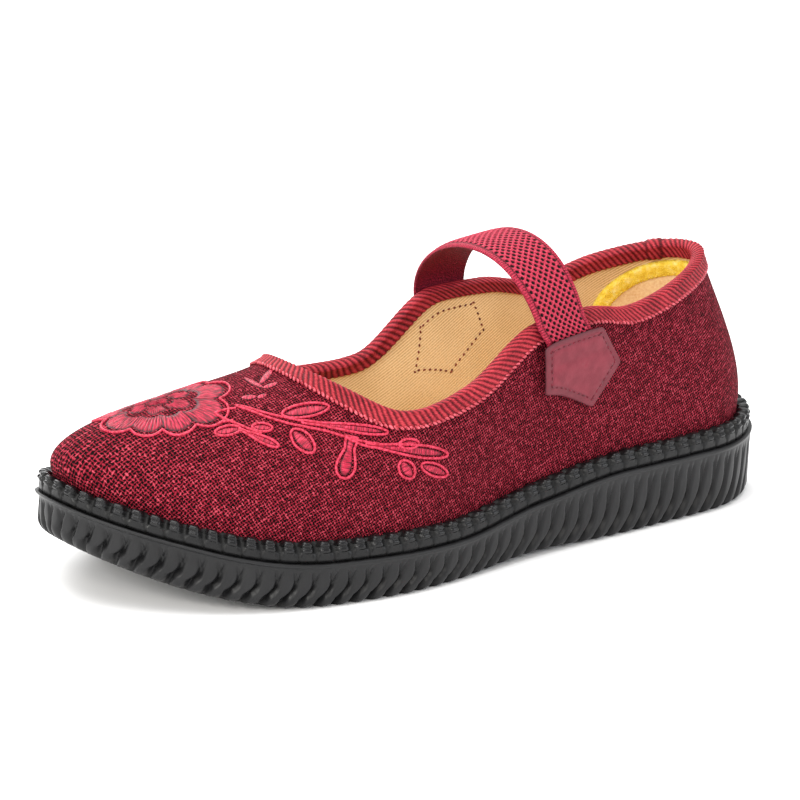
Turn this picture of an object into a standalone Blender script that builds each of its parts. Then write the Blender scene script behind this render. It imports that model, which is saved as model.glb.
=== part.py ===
"""Chinese cloth shoe for the left foot.

A woven upper with a bound collar and one elastic strap stands on a ribbed moulded sole with a
beaded welt. Metres, +Z up, +X towards the toe, +Y towards the outer side of the foot. The origin
is on the floor under the middle of the sole.

Every piece is worked out from the sole's outline and the collar's line. Both are closed loops that
start at the back of the heel, run along the outer side to the toe (turn 0 to 1) and back along
the inner side (turn 1 to 2).
"""

import math

import bmesh
import bpy
import numpy as np

# Clearance and fineness
CLEARANCE = 0.0003          # between two pieces that meet
RIBS_PER_SIDE = 52          # ribs of the sole and beads of the welt, heel to toe
UPPER_CUTS_PER_SIDE = 44    # cuts through the upper, heel to toe
UPPER_ROWS = 8              # rows of faces from the welt up to the collar
DENSE = 401                 # samples along one side of an outline
WALL_SAMPLES = 61           # samples down the upper's wall
NUDGE = 0.004               # step in turn or rise that a direction is measured over
SEARCH_SPAN = 0.4           # turn that is searched to either side for a place along the collar

# Sole
SHOE_LENGTH = 0.250         # lip, back of the heel to tip of the toe
BALL_WIDTH = 0.092          # lip, across the ball
HEEL_ROUND = 0.034          # length over which the heel end rounds off
TOE_ROUND = 0.060           # length over which the toe end rounds off
HEEL_FULLNESS = 2.2         # 2 is an ellipse, more is squarer
TOE_FULLNESS = 2.25
TOE_SWING = 0.0115          # tip of the toe towards the big toe
HEEL_THICKNESS = 0.0215     # floor to lip at the heel
FOREPART_THICKNESS = 0.0130  # bottom to lip under the ball
TOE_SPRING = 0.0185         # tip of the toe above the floor
ARCH_RISE = 0.0013          # bottom of the waist above the floor
LIP_REACH = 0.0013          # lip beyond the ribs below it
LIP_THICKNESS = 0.0010
RIB_DEPTH = 0.0017
RIB_SLANT = 0.0030          # foot of a rib ahead of its top
SLANT_SHARPNESS = 4.0       # how soon beyond heel and toe the ribs slant fully
SIDE_TO_LENGTH = 1.15       # one side of the sole's outline over its length
RIB_CREST = (0.30, 0.70)    # corners of a rib's round crest, from valley to valley
HEAD_VALLEY = 0.6           # depth of a valley at the top of the ribbed wall, share of its depth below
SCALLOP = 0.8               # how far a valley lifts the bottom edge, share of its depth
WALL_FOOT_INSET = 0.0008    # foot of the ribbed wall inside the lip's outline
EDGE_ROUND = 0.0030         # rounded bottom edge
EDGE_STEP = 0.3             # corner of the rounded edge, share of it
LIP_LEVELS = (1.4, 0.4)     # top of the ribs and edge of the lip below its line, in lip thicknesses
LEDGE_INSET = 0.6           # ledge's edge inside the lip's outline, in lip thicknesses

# Welt
WELT_HEIGHT = 0.0070        # ledge to where the cloth shows
WELT_INSET = 0.0014         # welt's skirt inside the lip's outline
BEAD_DEPTH = 0.0010         # grooves between the beads

# Upper, collar and lining-side pieces
UPPER_INSET = 0.0053        # foot of the upper inside the lip's outline
UPPER_THICKNESS = 0.0018    # cloth and lining together
OPENING_BACK = 0.0188       # back of the opening, from the back of the lip
OPENING_LENGTH = 0.1550
OPENING_WIDTH = 0.072       # across the front of the opening, before it rounds
OPENING_BACK_ROUND = 0.0336
OPENING_FRONT_ROUND = 0.0272
COLLAR_RISE = 0.0577        # lip to the top of the heel
BINDING_REACH = 0.0050      # width of the folded tape on either face
BINDING_THICKNESS = 0.0010
INSOLE_THICKNESS = 0.0030
INSOLE_SHOULDER = 0.8       # height of the insole's upright edge, share of its thickness
INSOLE_BEVEL = 0.25         # inset of its top edge, share of its thickness
INSOLE_GAP = 0.0005         # round the insole's edge
GRIP_THICKNESS = 0.0012
GRIP_WIDTH = 0.082          # heel grip, along the collar
GRIP_DROP = 0.034           # heel grip, below the tape
GRIP_ARCH = 0.35            # how far its ends come down from the tape, share of the drop
GRIP_TAPER = 0.25           # how far its lower edge rises at the ends, share of the drop
GRIP_LINES = 13
GRIP_ROWS = 6

# Strap and patches
STRAP_WIDTH = 0.0190
STRAP_THICKNESS = 0.0016
STRAP_OUTER_AT = 0.097      # middle of the strap on the collar, from the back of the lip
STRAP_INNER_AT = 0.0985
STRAP_RISE_OUTER = 0.0435    # how far the strap runs on upwards before it turns over
STRAP_RISE_INNER = 0.0235
STRAP_LEAN = 0.0115          # how far it leans back to the heel as it rises
STRAP_TUCK = 0.008          # strap's end below the tape, under its patch
STRAP_LANES = 5             # lines along the strap
STRAP_STEPS = 18            # steps over the instep
PATCH_WIDTH = 0.026
PATCH_DROP = 0.027          # point of the patch below its top edge
PATCH_THICKNESS = 0.0010
PATCH_EASE = 0.018          # how far the patch takes to come down past the strap's end
PATCH_AHEAD = {"outer": 0.0, "inner": 0.0035}    # patch's middle ahead of the strap's
PATCH_FORWARD = {"outer": 0.0, "inner": 0.25}    # how far it runs forward for each metre down
PATCH_RINGS = 5

# Cuts across the sole: share of its length, then outer and inner half width as shares of the ball's.
SOLE_CUTS = {
    "along": (0.00, 0.16, 0.42, 0.66, 0.86, 1.00),
    "outer": (0.320, 0.374, 0.425, 0.520, 0.462, 0.366),
    "inner": (0.326, 0.359, 0.337, 0.480, 0.459, 0.369),
}

# Thickness to the lip: 1 is the heel's thickness, 0 the forepart's.
SOLE_STEP = {
    "along": (0.00, 0.12, 0.28, 0.42, 0.56, 0.72, 0.88, 1.00),
    "heel": (1.00, 0.88, 0.88, 0.33, -0.06, 0.02, 0.08, -0.22),
}
SPRING_START = 0.73         # where the toe leaves the floor, share of the length
ARCH_SPAN = (0.28, 0.58)    # where the waist is off the floor
SWING_START = 0.45          # where the middle line starts to bend to the big toe

# Collar line: share of the opening, half widths as shares of its width, heights above the lip as
# shares of the collar's rise.
COLLAR_CUTS = {
    "along": (0.00, 0.20, 0.45, 0.70, 1.00),
    "outer": (0.254, 0.338, 0.406, 0.470, 0.533),
    "inner": (0.316, 0.338, 0.358, 0.383, 0.472),
}
COLLAR_HEIGHTS = {
    "along": (0.00, 0.14, 0.30, 0.42, 0.54, 0.72, 0.88, 1.00),
    "outer": (1.000, 0.930, 0.850, 0.910, 0.925, 0.740, 0.675, 0.830),
    "inner": (1.000, 0.900, 0.800, 0.865, 0.890, 0.640, 0.625, 0.830),
}

# How far round the collar a cut through the upper ends, for how far round the sole it starts.
CUT_SPREAD = {
    "sole": (0.00, 0.10, 0.45, 0.70, 1.00),
    "collar": (0.00, 0.10, 0.60, 0.83, 1.00),
}

# Curve of each cut from welt to collar: the two handles' shares of its run inwards and of its rise.
UPPER_CURVES = {
    "round": (0.00, 0.20, 0.45, 0.75, 1.00),
    "lower_in": (-0.16, -0.11, 0.00, 0.06, -0.13),
    "lower_up": (0.30, 0.34, 0.47, 0.47, 0.62),
    "upper_in": (0.48, 0.62, 0.46, 0.84, 0.63),
    "upper_up": (0.64, 0.72, 0.87, 0.79, 0.75),
}

# Welt's section: inset and height as shares of the welt's width and height, and how much of the
# bead's groove cuts in and down at each corner.
WELT_SECTION = {
    "inset": (0.06, 0.00, 0.34, 1.00, 1.00),
    "height": (0.00, 0.48, 0.90, 0.88, 0.00),
    "groove": (1.00, 1.00, 1.00, 0.00, 0.00),
    "sunk": (0.00, 0.00, 1.00, 0.00, 0.00),
}

# Folded tape's section: depth below the collar's edge as shares of its reach, and offset from the
# cloth's faces as shares of the tape's thickness, outside first, then over the edge and inside.
BINDING_OUTSIDE = {
    "depth": (1.00, 0.45, 0.00),
    "offset": (0.85, 1.00, 0.90),
}

# Patch: corners to the side as shares of its width and down as shares of its drop.
PATCH_CORNERS = {
    "side": (-0.50, 0.46, 0.60, -0.10, -0.64),
    "down": (0.00, 0.00, 0.50, 0.96, 0.48),
}
PATCH_CORNER_CUT = 0.14     # share of an edge that a rounded corner takes

MATERIALS = {
    # name: colour, roughness, metallic
    "moulded_pvc": ((0.030, 0.030, 0.033), 0.42, 0.0),
    "welt_pvc": ((0.022, 0.022, 0.024), 0.30, 0.0),
    "woven_cloth": ((0.262, 0.013, 0.025), 0.90, 0.0),
    "grosgrain_tape": ((0.392, 0.022, 0.042), 0.75, 0.0),
    "elastic_webbing": ((0.480, 0.030, 0.065), 0.75, 0.0),
    "leatherette": ((0.330, 0.050, 0.078), 0.50, 0.0),
    "cotton_footbed": ((0.790, 0.620, 0.330), 0.90, 0.0),
    "towelling": ((0.740, 0.560, 0.330), 0.95, 0.0),
}


def smooth_column(table, knots, column, at, mirrored=False):
    """Read a table's column between its rows along a monotone cubic, so that nothing overshoots."""
    x = np.asarray(table[knots], float)
    y = np.asarray(table[column], float)
    if mirrored:
        # A reflected row at each end keeps the curve level there.
        x = np.concatenate([[2 * x[0] - x[1]], x, [2 * x[-1] - x[-2]]])
        y = np.concatenate([[y[1]], y, [y[-2]]])
    step = np.diff(x)
    slope = np.diff(y) / step
    tangent = np.zeros_like(y)
    agree = slope[:-1] * slope[1:] > 0
    near = 2 * step[1:] + step[:-1]
    far = step[1:] + 2 * step[:-1]
    left = np.where(agree, slope[:-1], 1.0)
    right = np.where(agree, slope[1:], 1.0)
    tangent[1:-1] = np.where(agree, (near + far) / (near / left + far / right), 0.0)
    tangent[0] = slope[0]
    tangent[-1] = slope[-1]
    at = np.clip(at, x[0], x[-1])
    row = np.clip(np.searchsorted(x, at, side="right") - 1, 0, len(x) - 2)
    h = step[row]
    s = (at - x[row]) / h
    return (
        (1 + 2 * s) * (1 - s) ** 2 * y[row]
        + s * (1 - s) ** 2 * h * tangent[row]
        + s * s * (3 - 2 * s) * y[row + 1]
        + s * s * (s - 1) * h * tangent[row + 1]
    )


def rounded_end(distance, reach, fullness):
    """0 at the very end, 1 from reach inwards, along a superellipse."""
    t = np.clip(1 - distance / reach, 0, 1)
    return (1 - t ** fullness) ** (1 / fullness)


def swing(share):
    """Bend of the shoe's middle line towards the big toe."""
    return -TOE_SWING * np.clip((share - SWING_START) / (1 - SWING_START), 0, 1) ** 2


def spaced(x, *columns):
    """Sample a line again at equal steps along it."""
    length = np.concatenate([[0], np.cumsum(np.hypot(np.diff(x), np.diff(columns[0])))])
    even = np.linspace(0, length[-1], DENSE)
    return [np.interp(even, length, c) for c in (x, *columns)]


def end_spacing():
    """Shares from 0 to 1 that crowd at both ends, where an outline turns."""
    return (1 - np.cos(np.linspace(0, math.pi, DENSE))) / 2


def sole_side(side):
    share = end_spacing()
    half = BALL_WIDTH * smooth_column(SOLE_CUTS, "along", side, share)
    half = half * rounded_end(share * SHOE_LENGTH, HEEL_ROUND, HEEL_FULLNESS)
    half = half * rounded_end((1 - share) * SHOE_LENGTH, TOE_ROUND, TOE_FULLNESS)
    sign = 1 if side == "outer" else -1
    return spaced(share * SHOE_LENGTH, swing(share) + sign * half)


def collar_side(side):
    share = end_spacing()
    half = OPENING_WIDTH * smooth_column(COLLAR_CUTS, "along", side, share)
    half = half * rounded_end(share * OPENING_LENGTH, OPENING_BACK_ROUND, 2)
    half = half * rounded_end((1 - share) * OPENING_LENGTH, OPENING_FRONT_ROUND, 2)
    x = OPENING_BACK + share * OPENING_LENGTH
    sign = 1 if side == "outer" else -1
    y = swing(x / SHOE_LENGTH) + sign * half
    z = lip_height(x / SHOE_LENGTH) + COLLAR_RISE * smooth_column(COLLAR_HEIGHTS, "along", side, share)
    return spaced(x, y, z)


def join_sides(outer, inner):
    """Close a loop from its two sides, with the turn of each point: 0 heel, 1 toe, 2 heel again."""
    turn = np.concatenate([np.linspace(0, 1, DENSE), np.linspace(1, 2, DENSE)[1:]])
    columns = [np.concatenate([a, b[::-1][1:]]) for a, b in zip(outer, inner)]
    return turn, np.stack(columns, axis=-1)


def bottom_height(share):
    """Underside of the sole above the floor: flat heel and ball, low arch, sprung toe."""
    spring = TOE_SPRING * np.clip((share - SPRING_START) / (1 - SPRING_START), 0, 1) ** 2
    along_arch = np.clip((share - ARCH_SPAN[0]) / (ARCH_SPAN[1] - ARCH_SPAN[0]), 0, 1)
    return spring + ARCH_RISE * np.sin(math.pi * along_arch) ** 2


def lip_height(share):
    step = smooth_column(SOLE_STEP, "along", "heel", share)
    return bottom_height(share) + FOREPART_THICKNESS + (HEEL_THICKNESS - FOREPART_THICKNESS) * step


SOLE_TURN, SOLE_LOOP = join_sides(sole_side("outer"), sole_side("inner"))
COLLAR_TURN, COLLAR_LOOP = join_sides(collar_side("outer"), collar_side("inner"))
MIDDLE = (SOLE_LOOP.min(axis=0) + SOLE_LOOP.max(axis=0)) / 2   # becomes the origin


def sole_edge(turn):
    """Point on the lip's outline and the level direction outwards from it."""
    def read(t):
        t = np.mod(t, 2)
        return np.stack([np.interp(t, SOLE_TURN, SOLE_LOOP[:, k]) for k in (0, 1)], axis=-1)

    nudge = 1 / DENSE
    run = read(turn + nudge) - read(turn - nudge)
    run = run / np.linalg.norm(run, axis=-1, keepdims=True)
    return read(turn), np.stack([-run[..., 1], run[..., 0]], axis=-1)


def sole_points(turn, inset, height_over):
    """Points inside the lip's outline, at a height worked out from the share of the length."""
    edge, outwards = sole_edge(turn)
    plan = edge - outwards * np.asarray(inset)[..., None]
    height = height_over(plan[..., 0] / SHOE_LENGTH)
    return np.concatenate([plan - MIDDLE, height[..., None]], axis=-1)


def sole_top(share):
    return lip_height(share) + LIP_THICKNESS / 2


def collar_point(turn):
    """Collar line for a cut that starts at this turn round the sole."""
    side = np.where(turn <= 1, turn, 2 - turn)
    spread = smooth_column(CUT_SPREAD, "sole", "collar", side)
    at = np.where(turn <= 1, spread, 2 - spread)
    return np.stack([np.interp(at, COLLAR_TURN, COLLAR_LOOP[:, k]) for k in (0, 1, 2)], axis=-1)


def upper_face(turn, rise):
    """Outer face of the upper: rise is 0 at the welt and 1 at the collar's edge."""
    turn = np.mod(turn, 2)
    turn, rise = np.broadcast_arrays(turn, rise)
    side = np.where(turn <= 1, turn, 2 - turn)
    foot = sole_points(turn, np.full(turn.shape, UPPER_INSET), lambda share: lip_height(share) + WELT_HEIGHT)
    top = collar_point(turn)
    top = top - np.array([MIDDLE[0], MIDDLE[1], 0.0])
    span = top - foot
    handles = []
    for end in ("lower", "upper"):
        inwards = smooth_column(UPPER_CURVES, "round", end + "_in", side, mirrored=True)
        up = smooth_column(UPPER_CURVES, "round", end + "_up", side, mirrored=True)
        handles.append(foot + span * np.stack([inwards, inwards, up], axis=-1))
    v = rise[..., None]
    return (
        (1 - v) ** 3 * foot
        + 3 * v * (1 - v) ** 2 * handles[0]
        + 3 * v * v * (1 - v) * handles[1]
        + v ** 3 * top
    )


def beside_wall(turn, depth, offset):
    """Point at a depth below the collar's edge (above it when negative), off the outer face."""
    turn, depth, offset = np.broadcast_arrays(
        np.asarray(turn, float), np.asarray(depth, float), np.asarray(offset, float))
    shape = turn.shape
    turn, depth, offset = turn.ravel(), depth.ravel(), offset.ravel()
    samples = np.linspace(1, 0, WALL_SAMPLES)
    lines = upper_face(turn[:, None], samples[None, :])
    steps = np.linalg.norm(np.diff(lines, axis=1), axis=-1)
    below = np.concatenate([np.zeros((len(turn), 1)), np.cumsum(steps, axis=1)], axis=1)
    rise = np.array([np.interp(max(d, 0.0), b, samples) for d, b in zip(depth, below)])
    up = upper_face(turn, rise + NUDGE) - upper_face(turn, rise - NUDGE)
    along = upper_face(turn + NUDGE, rise) - upper_face(turn - NUDGE, rise)
    out = np.cross(up, along)
    out = out / np.linalg.norm(out, axis=-1, keepdims=True)
    up = up / np.linalg.norm(up, axis=-1, keepdims=True)
    point = upper_face(turn, rise) + out * offset[:, None] + up * np.maximum(-depth, 0)[:, None]
    return point.reshape(shape + (3,))


def turn_at(side, from_back):
    """Turn whose cut ends on the collar this far ahead of the back of the lip."""
    turns = np.linspace(0, 1, DENSE) if side == "outer" else np.linspace(2, 1, DENSE)
    return float(np.interp(from_back, collar_point(turns)[:, 0], turns))


def turn_beyond(turn, distance):
    """Turn that lies this distance further towards the toe along the collar, less when negative."""
    direction = 1 if turn < 1 else -1
    span = direction * np.linspace(-SEARCH_SPAN, SEARCH_SPAN, DENSE)
    line = collar_point(np.mod(turn + span, 2))
    length = np.concatenate([[0], np.cumsum(np.linalg.norm(np.diff(line, axis=0), axis=1))])
    middle = length[DENSE // 2]
    return turn + np.interp(np.asarray(distance) + middle, length, span)


def new_object(name, mesh, material_name):
    """Put a finished mesh in the shoe's collection with its own material."""
    colour, roughness, metallic = MATERIALS[material_name]
    material = bpy.data.materials.get(material_name) or bpy.data.materials.new(material_name)
    material.use_nodes = True
    shader = material.node_tree.nodes["Principled BSDF"]
    shader.inputs["Base Color"].default_value = (*colour, 1.0)
    shader.inputs["Roughness"].default_value = roughness
    shader.inputs["Metallic"].default_value = metallic
    material.diffuse_color = (*colour, 1.0)
    mesh.materials.append(material)
    shape = bpy.data.objects.new(name, mesh)
    SHOE.objects.link(shape)
    return shape


def finish_mesh(name, bm, sharp_degrees=40):
    """Turn a bmesh into a mesh with outward faces, smooth but for its real edges."""
    bmesh.ops.recalc_face_normals(bm, faces=bm.faces)
    mesh = bpy.data.meshes.new(name)
    bm.to_mesh(mesh)
    bm.free()
    mesh.shade_smooth()
    mesh.set_sharp_from_angle(angle=math.radians(sharp_degrees))
    return mesh


def add_ring(bm, points):
    return [bm.verts.new(p) for p in points]


def bridge(bm, lower, upper, closed=True):
    """Faces between two rings with as many corners each."""
    count = len(lower)
    for i in range(count if closed else count - 1):
        j = (i + 1) % count
        bm.faces.new((lower[i], lower[j], upper[j], upper[i]))


def bridge_ribs(bm, plain, ribbed):
    """Faces between a plain ring and one with three corners for each of its own."""
    count = len(plain)
    for i in range(count):
        j = (i + 1) % count
        valley, rise, fall, following = (ribbed[(3 * i + k) % (3 * count)] for k in range(4))
        bm.faces.new((plain[i], valley, rise))
        bm.faces.new((plain[i], rise, fall, plain[j]))
        bm.faces.new((plain[j], fall, following))


def close_ring(bm, ring):
    """Cap a loop with rungs from its outer side to its inner side."""
    half = len(ring) // 2
    bm.faces.new((ring[0], ring[1], ring[-1]))
    bm.faces.new((ring[half - 1], ring[half], ring[half + 1]))
    for i in range(1, half - 1):
        bm.faces.new((ring[i], ring[i + 1], ring[-i - 1], ring[-i]))


def make_outsole():
    """Moulded sole: flat bottom, rounded scalloped edge, slanting ribs and a thin lip on top."""
    plain = np.arange(2 * RIBS_PER_SIDE) / RIBS_PER_SIDE
    # Each rib has a sharp valley and two corners on its round crest.
    ribbed = (np.arange(2 * RIBS_PER_SIDE)[:, None] + np.array([0.0, *RIB_CREST])).ravel() / RIBS_PER_SIDE
    valley = np.tile([1.0, 0.0, 0.0], 2 * RIBS_PER_SIDE)
    side_length = SHOE_LENGTH * SIDE_TO_LENGTH

    def slant(turn):
        return turn + RIB_SLANT / side_length * np.tanh(SLANT_SHARPNESS * np.sin(math.pi * turn))

    def over_bottom(extra):
        return lambda share: bottom_height(share) + extra

    def under_lip(drop):
        return lambda share: lip_height(share) - drop

    edge_step = EDGE_STEP * EDGE_ROUND
    foot_inset = WALL_FOOT_INSET + RIB_DEPTH + EDGE_ROUND
    bm = bmesh.new()
    flat = add_ring(bm, sole_points(slant(plain), np.full(plain.shape, foot_inset), bottom_height))
    close_ring(bm, flat)
    scallop = add_ring(bm, sole_points(
        slant(ribbed), WALL_FOOT_INSET + edge_step + valley * RIB_DEPTH,
        over_bottom(edge_step + valley * SCALLOP * RIB_DEPTH)))
    bridge_ribs(bm, flat, scallop)
    foot = add_ring(bm, sole_points(
        slant(ribbed), WALL_FOOT_INSET + valley * RIB_DEPTH,
        over_bottom(EDGE_ROUND + valley * SCALLOP * RIB_DEPTH)))
    bridge(bm, scallop, foot)
    ribs_top, lip_edge = LIP_LEVELS
    head = add_ring(bm, sole_points(
        ribbed, LIP_REACH + valley * HEAD_VALLEY * RIB_DEPTH, under_lip(ribs_top * LIP_THICKNESS)))
    bridge(bm, foot, head)
    under = add_ring(bm, sole_points(plain, np.zeros(plain.shape), under_lip(lip_edge * LIP_THICKNESS)))
    bridge_ribs(bm, under, head)
    ledge = add_ring(bm, sole_points(plain, np.full(plain.shape, LEDGE_INSET * LIP_THICKNESS), sole_top))
    bridge(bm, under, ledge)
    close_ring(bm, ledge)
    return new_object("outsole", finish_mesh("outsole", bm), "moulded_pvc")


def make_welt():
    """Beaded strip round the upper's foot, standing on the sole's ledge."""
    turn = np.arange(4 * RIBS_PER_SIDE) / (2 * RIBS_PER_SIDE)
    groove = np.tile([1.0, 0.0], 2 * RIBS_PER_SIDE)
    width = UPPER_INSET - CLEARANCE - WELT_INSET
    tall = WELT_HEIGHT - 2 * CLEARANCE - LIP_THICKNESS / 2
    bm = bmesh.new()
    rings = []
    for inset, height, cut, sunk in zip(*WELT_SECTION.values()):
        lift = CLEARANCE + height * tall - groove * sunk * BEAD_DEPTH
        rings.append(add_ring(bm, sole_points(
            turn, WELT_INSET + inset * width + groove * cut * BEAD_DEPTH,
            lambda share, lift=lift: sole_top(share) + lift)))
    for k, ring in enumerate(rings):
        bridge(bm, ring, rings[(k + 1) % len(rings)])
    return new_object("welt", finish_mesh("welt", bm), "welt_pvc")


def upper_cuts():
    return np.arange(2 * UPPER_CUTS_PER_SIDE) / UPPER_CUTS_PER_SIDE


def make_insole():
    turn = upper_cuts()
    inset = np.full(turn.shape, UPPER_INSET + UPPER_THICKNESS + INSOLE_GAP)
    bm = bmesh.new()
    rings = []
    for rise, bevel in ((0.0, 0.0), (INSOLE_SHOULDER, 0.0), (1.0, INSOLE_BEVEL)):
        lift = CLEARANCE + rise * INSOLE_THICKNESS
        rings.append(add_ring(bm, sole_points(
            turn, inset + bevel * INSOLE_THICKNESS, lambda share, lift=lift: sole_top(share) + lift)))
    bridge(bm, rings[0], rings[1])
    bridge(bm, rings[1], rings[2])
    close_ring(bm, rings[0])
    close_ring(bm, rings[2])
    return new_object("insole", finish_mesh("insole", bm), "cotton_footbed")


def make_upper():
    """Hollow woven wall: an open sheet from the sole to the collar, thickened inwards."""
    turn = upper_cuts()
    bm = bmesh.new()
    foot = upper_face(turn, 0.0)
    share = (foot[:, 0] + MIDDLE[0]) / SHOE_LENGTH
    foot[:, 2] = sole_top(share) + CLEARANCE
    rings = [add_ring(bm, foot)]
    for row in range(UPPER_ROWS + 1):
        rings.append(add_ring(bm, upper_face(turn, row / UPPER_ROWS)))
        bridge(bm, rings[-2], rings[-1])
    mesh = finish_mesh("upper", bm)
    upper = new_object("upper", mesh, "woven_cloth")
    wall = upper.modifiers.new("wall", "SOLIDIFY")
    wall.thickness = UPPER_THICKNESS
    wall.offset = -1.0
    wall.use_even_offset = True
    return upper


def make_binding():
    """Tape folded over the collar's edge, with a leg on either face of the wall."""
    turn = upper_cuts()
    inside = -UPPER_THICKNESS - CLEARANCE
    section = []
    for depth, offset in zip(*BINDING_OUTSIDE.values()):
        section.append((depth * BINDING_REACH, CLEARANCE + offset * BINDING_THICKNESS))
    over_edge = -CLEARANCE - BINDING_THICKNESS
    section.append((over_edge, CLEARANCE))
    section.append((over_edge, inside))
    for depth, offset in reversed(list(zip(*BINDING_OUTSIDE.values()))):
        section.append((depth * BINDING_REACH, inside - offset * BINDING_THICKNESS))
    section.append((BINDING_REACH, inside))
    section.append((-CLEARANCE, inside))
    section.append((-CLEARANCE, CLEARANCE))
    section.append((BINDING_REACH, CLEARANCE))
    bm = bmesh.new()
    rings = [add_ring(bm, beside_wall(turn, depth, offset)) for depth, offset in section]
    for k, ring in enumerate(rings):
        bridge(bm, ring, rings[(k + 1) % len(rings)])
    return new_object("binding", finish_mesh("binding", bm), "grosgrain_tape")


def plate(name, face, back, material_name):
    """Close a thin plate from two matching grids of points, rows by columns."""
    bm = bmesh.new()
    rows = len(face)
    front = [add_ring(bm, line) for line in face]
    rear = [add_ring(bm, line) for line in back]
    for grid in (front, rear):
        for k in range(rows - 1):
            bridge(bm, grid[k], grid[k + 1], closed=False)
    bridge(bm, front[0], rear[0], closed=False)
    bridge(bm, front[-1], rear[-1], closed=False)
    for end in (0, -1):
        bridge(bm, [line[end] for line in front], [line[end] for line in rear], closed=False)
    return new_object(name, finish_mesh(name, bm), material_name)


def make_heel_grip():
    """Thin pad on the wall's inner face behind the heel, arched at its top."""
    lines = np.linspace(-1, 1, GRIP_LINES)
    turns = turn_beyond(0.0, lines * GRIP_WIDTH / 2)
    top = BINDING_REACH + CLEARANCE + GRIP_ARCH * GRIP_DROP * lines ** 4
    bottom = BINDING_REACH + GRIP_DROP * (1 - GRIP_TAPER * lines ** 2)
    faces = []
    for offset in (-UPPER_THICKNESS - CLEARANCE - GRIP_THICKNESS, -UPPER_THICKNESS - CLEARANCE):
        rows = [beside_wall(turns, top + (bottom - top) * s, offset) for s in np.linspace(0, 1, GRIP_ROWS)]
        faces.append(rows)
    return plate("heel_grip", faces[0], faces[1], "towelling")


def strap_lane(side_offset):
    """Line along the strap at a distance from its middle: inner face points and outward directions."""
    ends = []
    for side, at in (("outer", STRAP_OUTER_AT), ("inner", STRAP_INNER_AT)):
        turn = float(turn_beyond(turn_at(side, at), side_offset))
        clear_tape = 2 * CLEARANCE + BINDING_THICKNESS
        depths = [BINDING_REACH + STRAP_TUCK, BINDING_REACH + 0.5 * STRAP_TUCK, BINDING_REACH, 0.0]
        offsets = [CLEARANCE, 0.5 * (CLEARANCE + clear_tape), clear_tape, clear_tape]
        inner = beside_wall(turn, depths, offsets)
        outer = beside_wall(turn, depths, np.array(offsets) + STRAP_THICKNESS)
        ends.append((inner, outer))
    lanes = []
    back = np.array([STRAP_LEAN, 0.0, 0.0])
    for face in (0, 1):
        start, stop = ends[0][face], ends[1][face]
        extra = face * STRAP_THICKNESS
        up_start = start[-1] - start[-2]
        up_stop = stop[-1] - stop[-2]
        up_start = up_start / np.linalg.norm(up_start) * (STRAP_RISE_OUTER + extra) - back
        up_stop = up_stop / np.linalg.norm(up_stop) * (STRAP_RISE_INNER + extra) - back
        t = np.linspace(0, 1, STRAP_STEPS + 1)[:, None]
        arch = (
            (1 - t) ** 3 * start[-1]
            + 3 * t * (1 - t) ** 2 * (start[-1] + up_start)
            + 3 * t * t * (1 - t) * (stop[-1] + up_stop)
            + t ** 3 * stop[-1]
        )
        lanes.append(np.concatenate([start[:-1], arch, stop[:-1][::-1]]))
    return lanes


def make_strap():
    """Elastic band from patch to patch, outside the collar at either side."""
    lanes = [strap_lane(d) for d in np.linspace(-STRAP_WIDTH / 2, STRAP_WIDTH / 2, STRAP_LANES)]
    return plate("strap", [lane[1] for lane in lanes], [lane[0] for lane in lanes], "elastic_webbing")


def make_patch(side, at):
    """Five-sided patch over the end of the strap, with its corners cut."""
    across = np.array(PATCH_CORNERS["side"]) * PATCH_WIDTH
    down = np.array(PATCH_CORNERS["down"]) * PATCH_DROP
    corners = np.stack([across, down], axis=-1)
    rim = []
    for k, corner in enumerate(corners):
        for other in (corners[k - 1], corners[(k + 1) % len(corners)]):
            rim.append(corner + PATCH_CORNER_CUT * (other - corner))
    rim = np.array(rim)
    middle = corners.mean(axis=0)
    centre_turn = turn_at(side, at)
    tape_top = 2 * CLEARANCE + BINDING_THICKNESS
    over_strap = STRAP_THICKNESS + 2 * CLEARANCE

    def place(flat_points, lift):
        ahead = flat_points[:, 0] + PATCH_AHEAD[side] + PATCH_FORWARD[side] * flat_points[:, 1]
        turns = turn_beyond(centre_turn, ahead)
        down = CLEARANCE + flat_points[:, 1]
        # Over the strap's end the patch stands off the wall, and past it comes down to the cloth.
        tail = tape_top + (CLEARANCE - tape_top) * np.clip(down / STRAP_TUCK, 0, 1)
        past = np.clip((down - STRAP_TUCK - PATCH_THICKNESS) / PATCH_EASE, 0, 1)
        stand_off = tail + over_strap * (1 - past * past * (3 - 2 * past))
        return beside_wall(turns, BINDING_REACH + down, stand_off + lift)

    bm = bmesh.new()
    loops = []
    for lift in (PATCH_THICKNESS, 0.0):
        rings = []
        for k in range(1, PATCH_RINGS + 1):
            scale = k / PATCH_RINGS
            rings.append(add_ring(bm, place(middle + (rim - middle) * scale, lift)))
        for k in range(PATCH_RINGS - 1):
            bridge(bm, rings[k], rings[k + 1])
        centre = bm.verts.new(place(middle[None, :], lift)[0])
        for k in range(len(rim)):
            bm.faces.new((rings[0][k], rings[0][(k + 1) % len(rim)], centre))
        loops.append(rings[-1])
    bridge(bm, loops[0], loops[1])
    name = "patch_" + side
    return new_object(name, finish_mesh(name, bm), "leatherette")


for leftover in list(bpy.data.objects):
    bpy.data.objects.remove(leftover, do_unlink=True)

SHOE = bpy.data.collections.new("chinese_cloth_shoe")
bpy.context.scene.collection.children.link(SHOE)

make_outsole()
make_welt()
make_insole()
make_upper()
make_binding()
make_heel_grip()
make_strap()
make_patch("outer", STRAP_OUTER_AT)
make_patch("inner", STRAP_INNER_AT)
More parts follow.
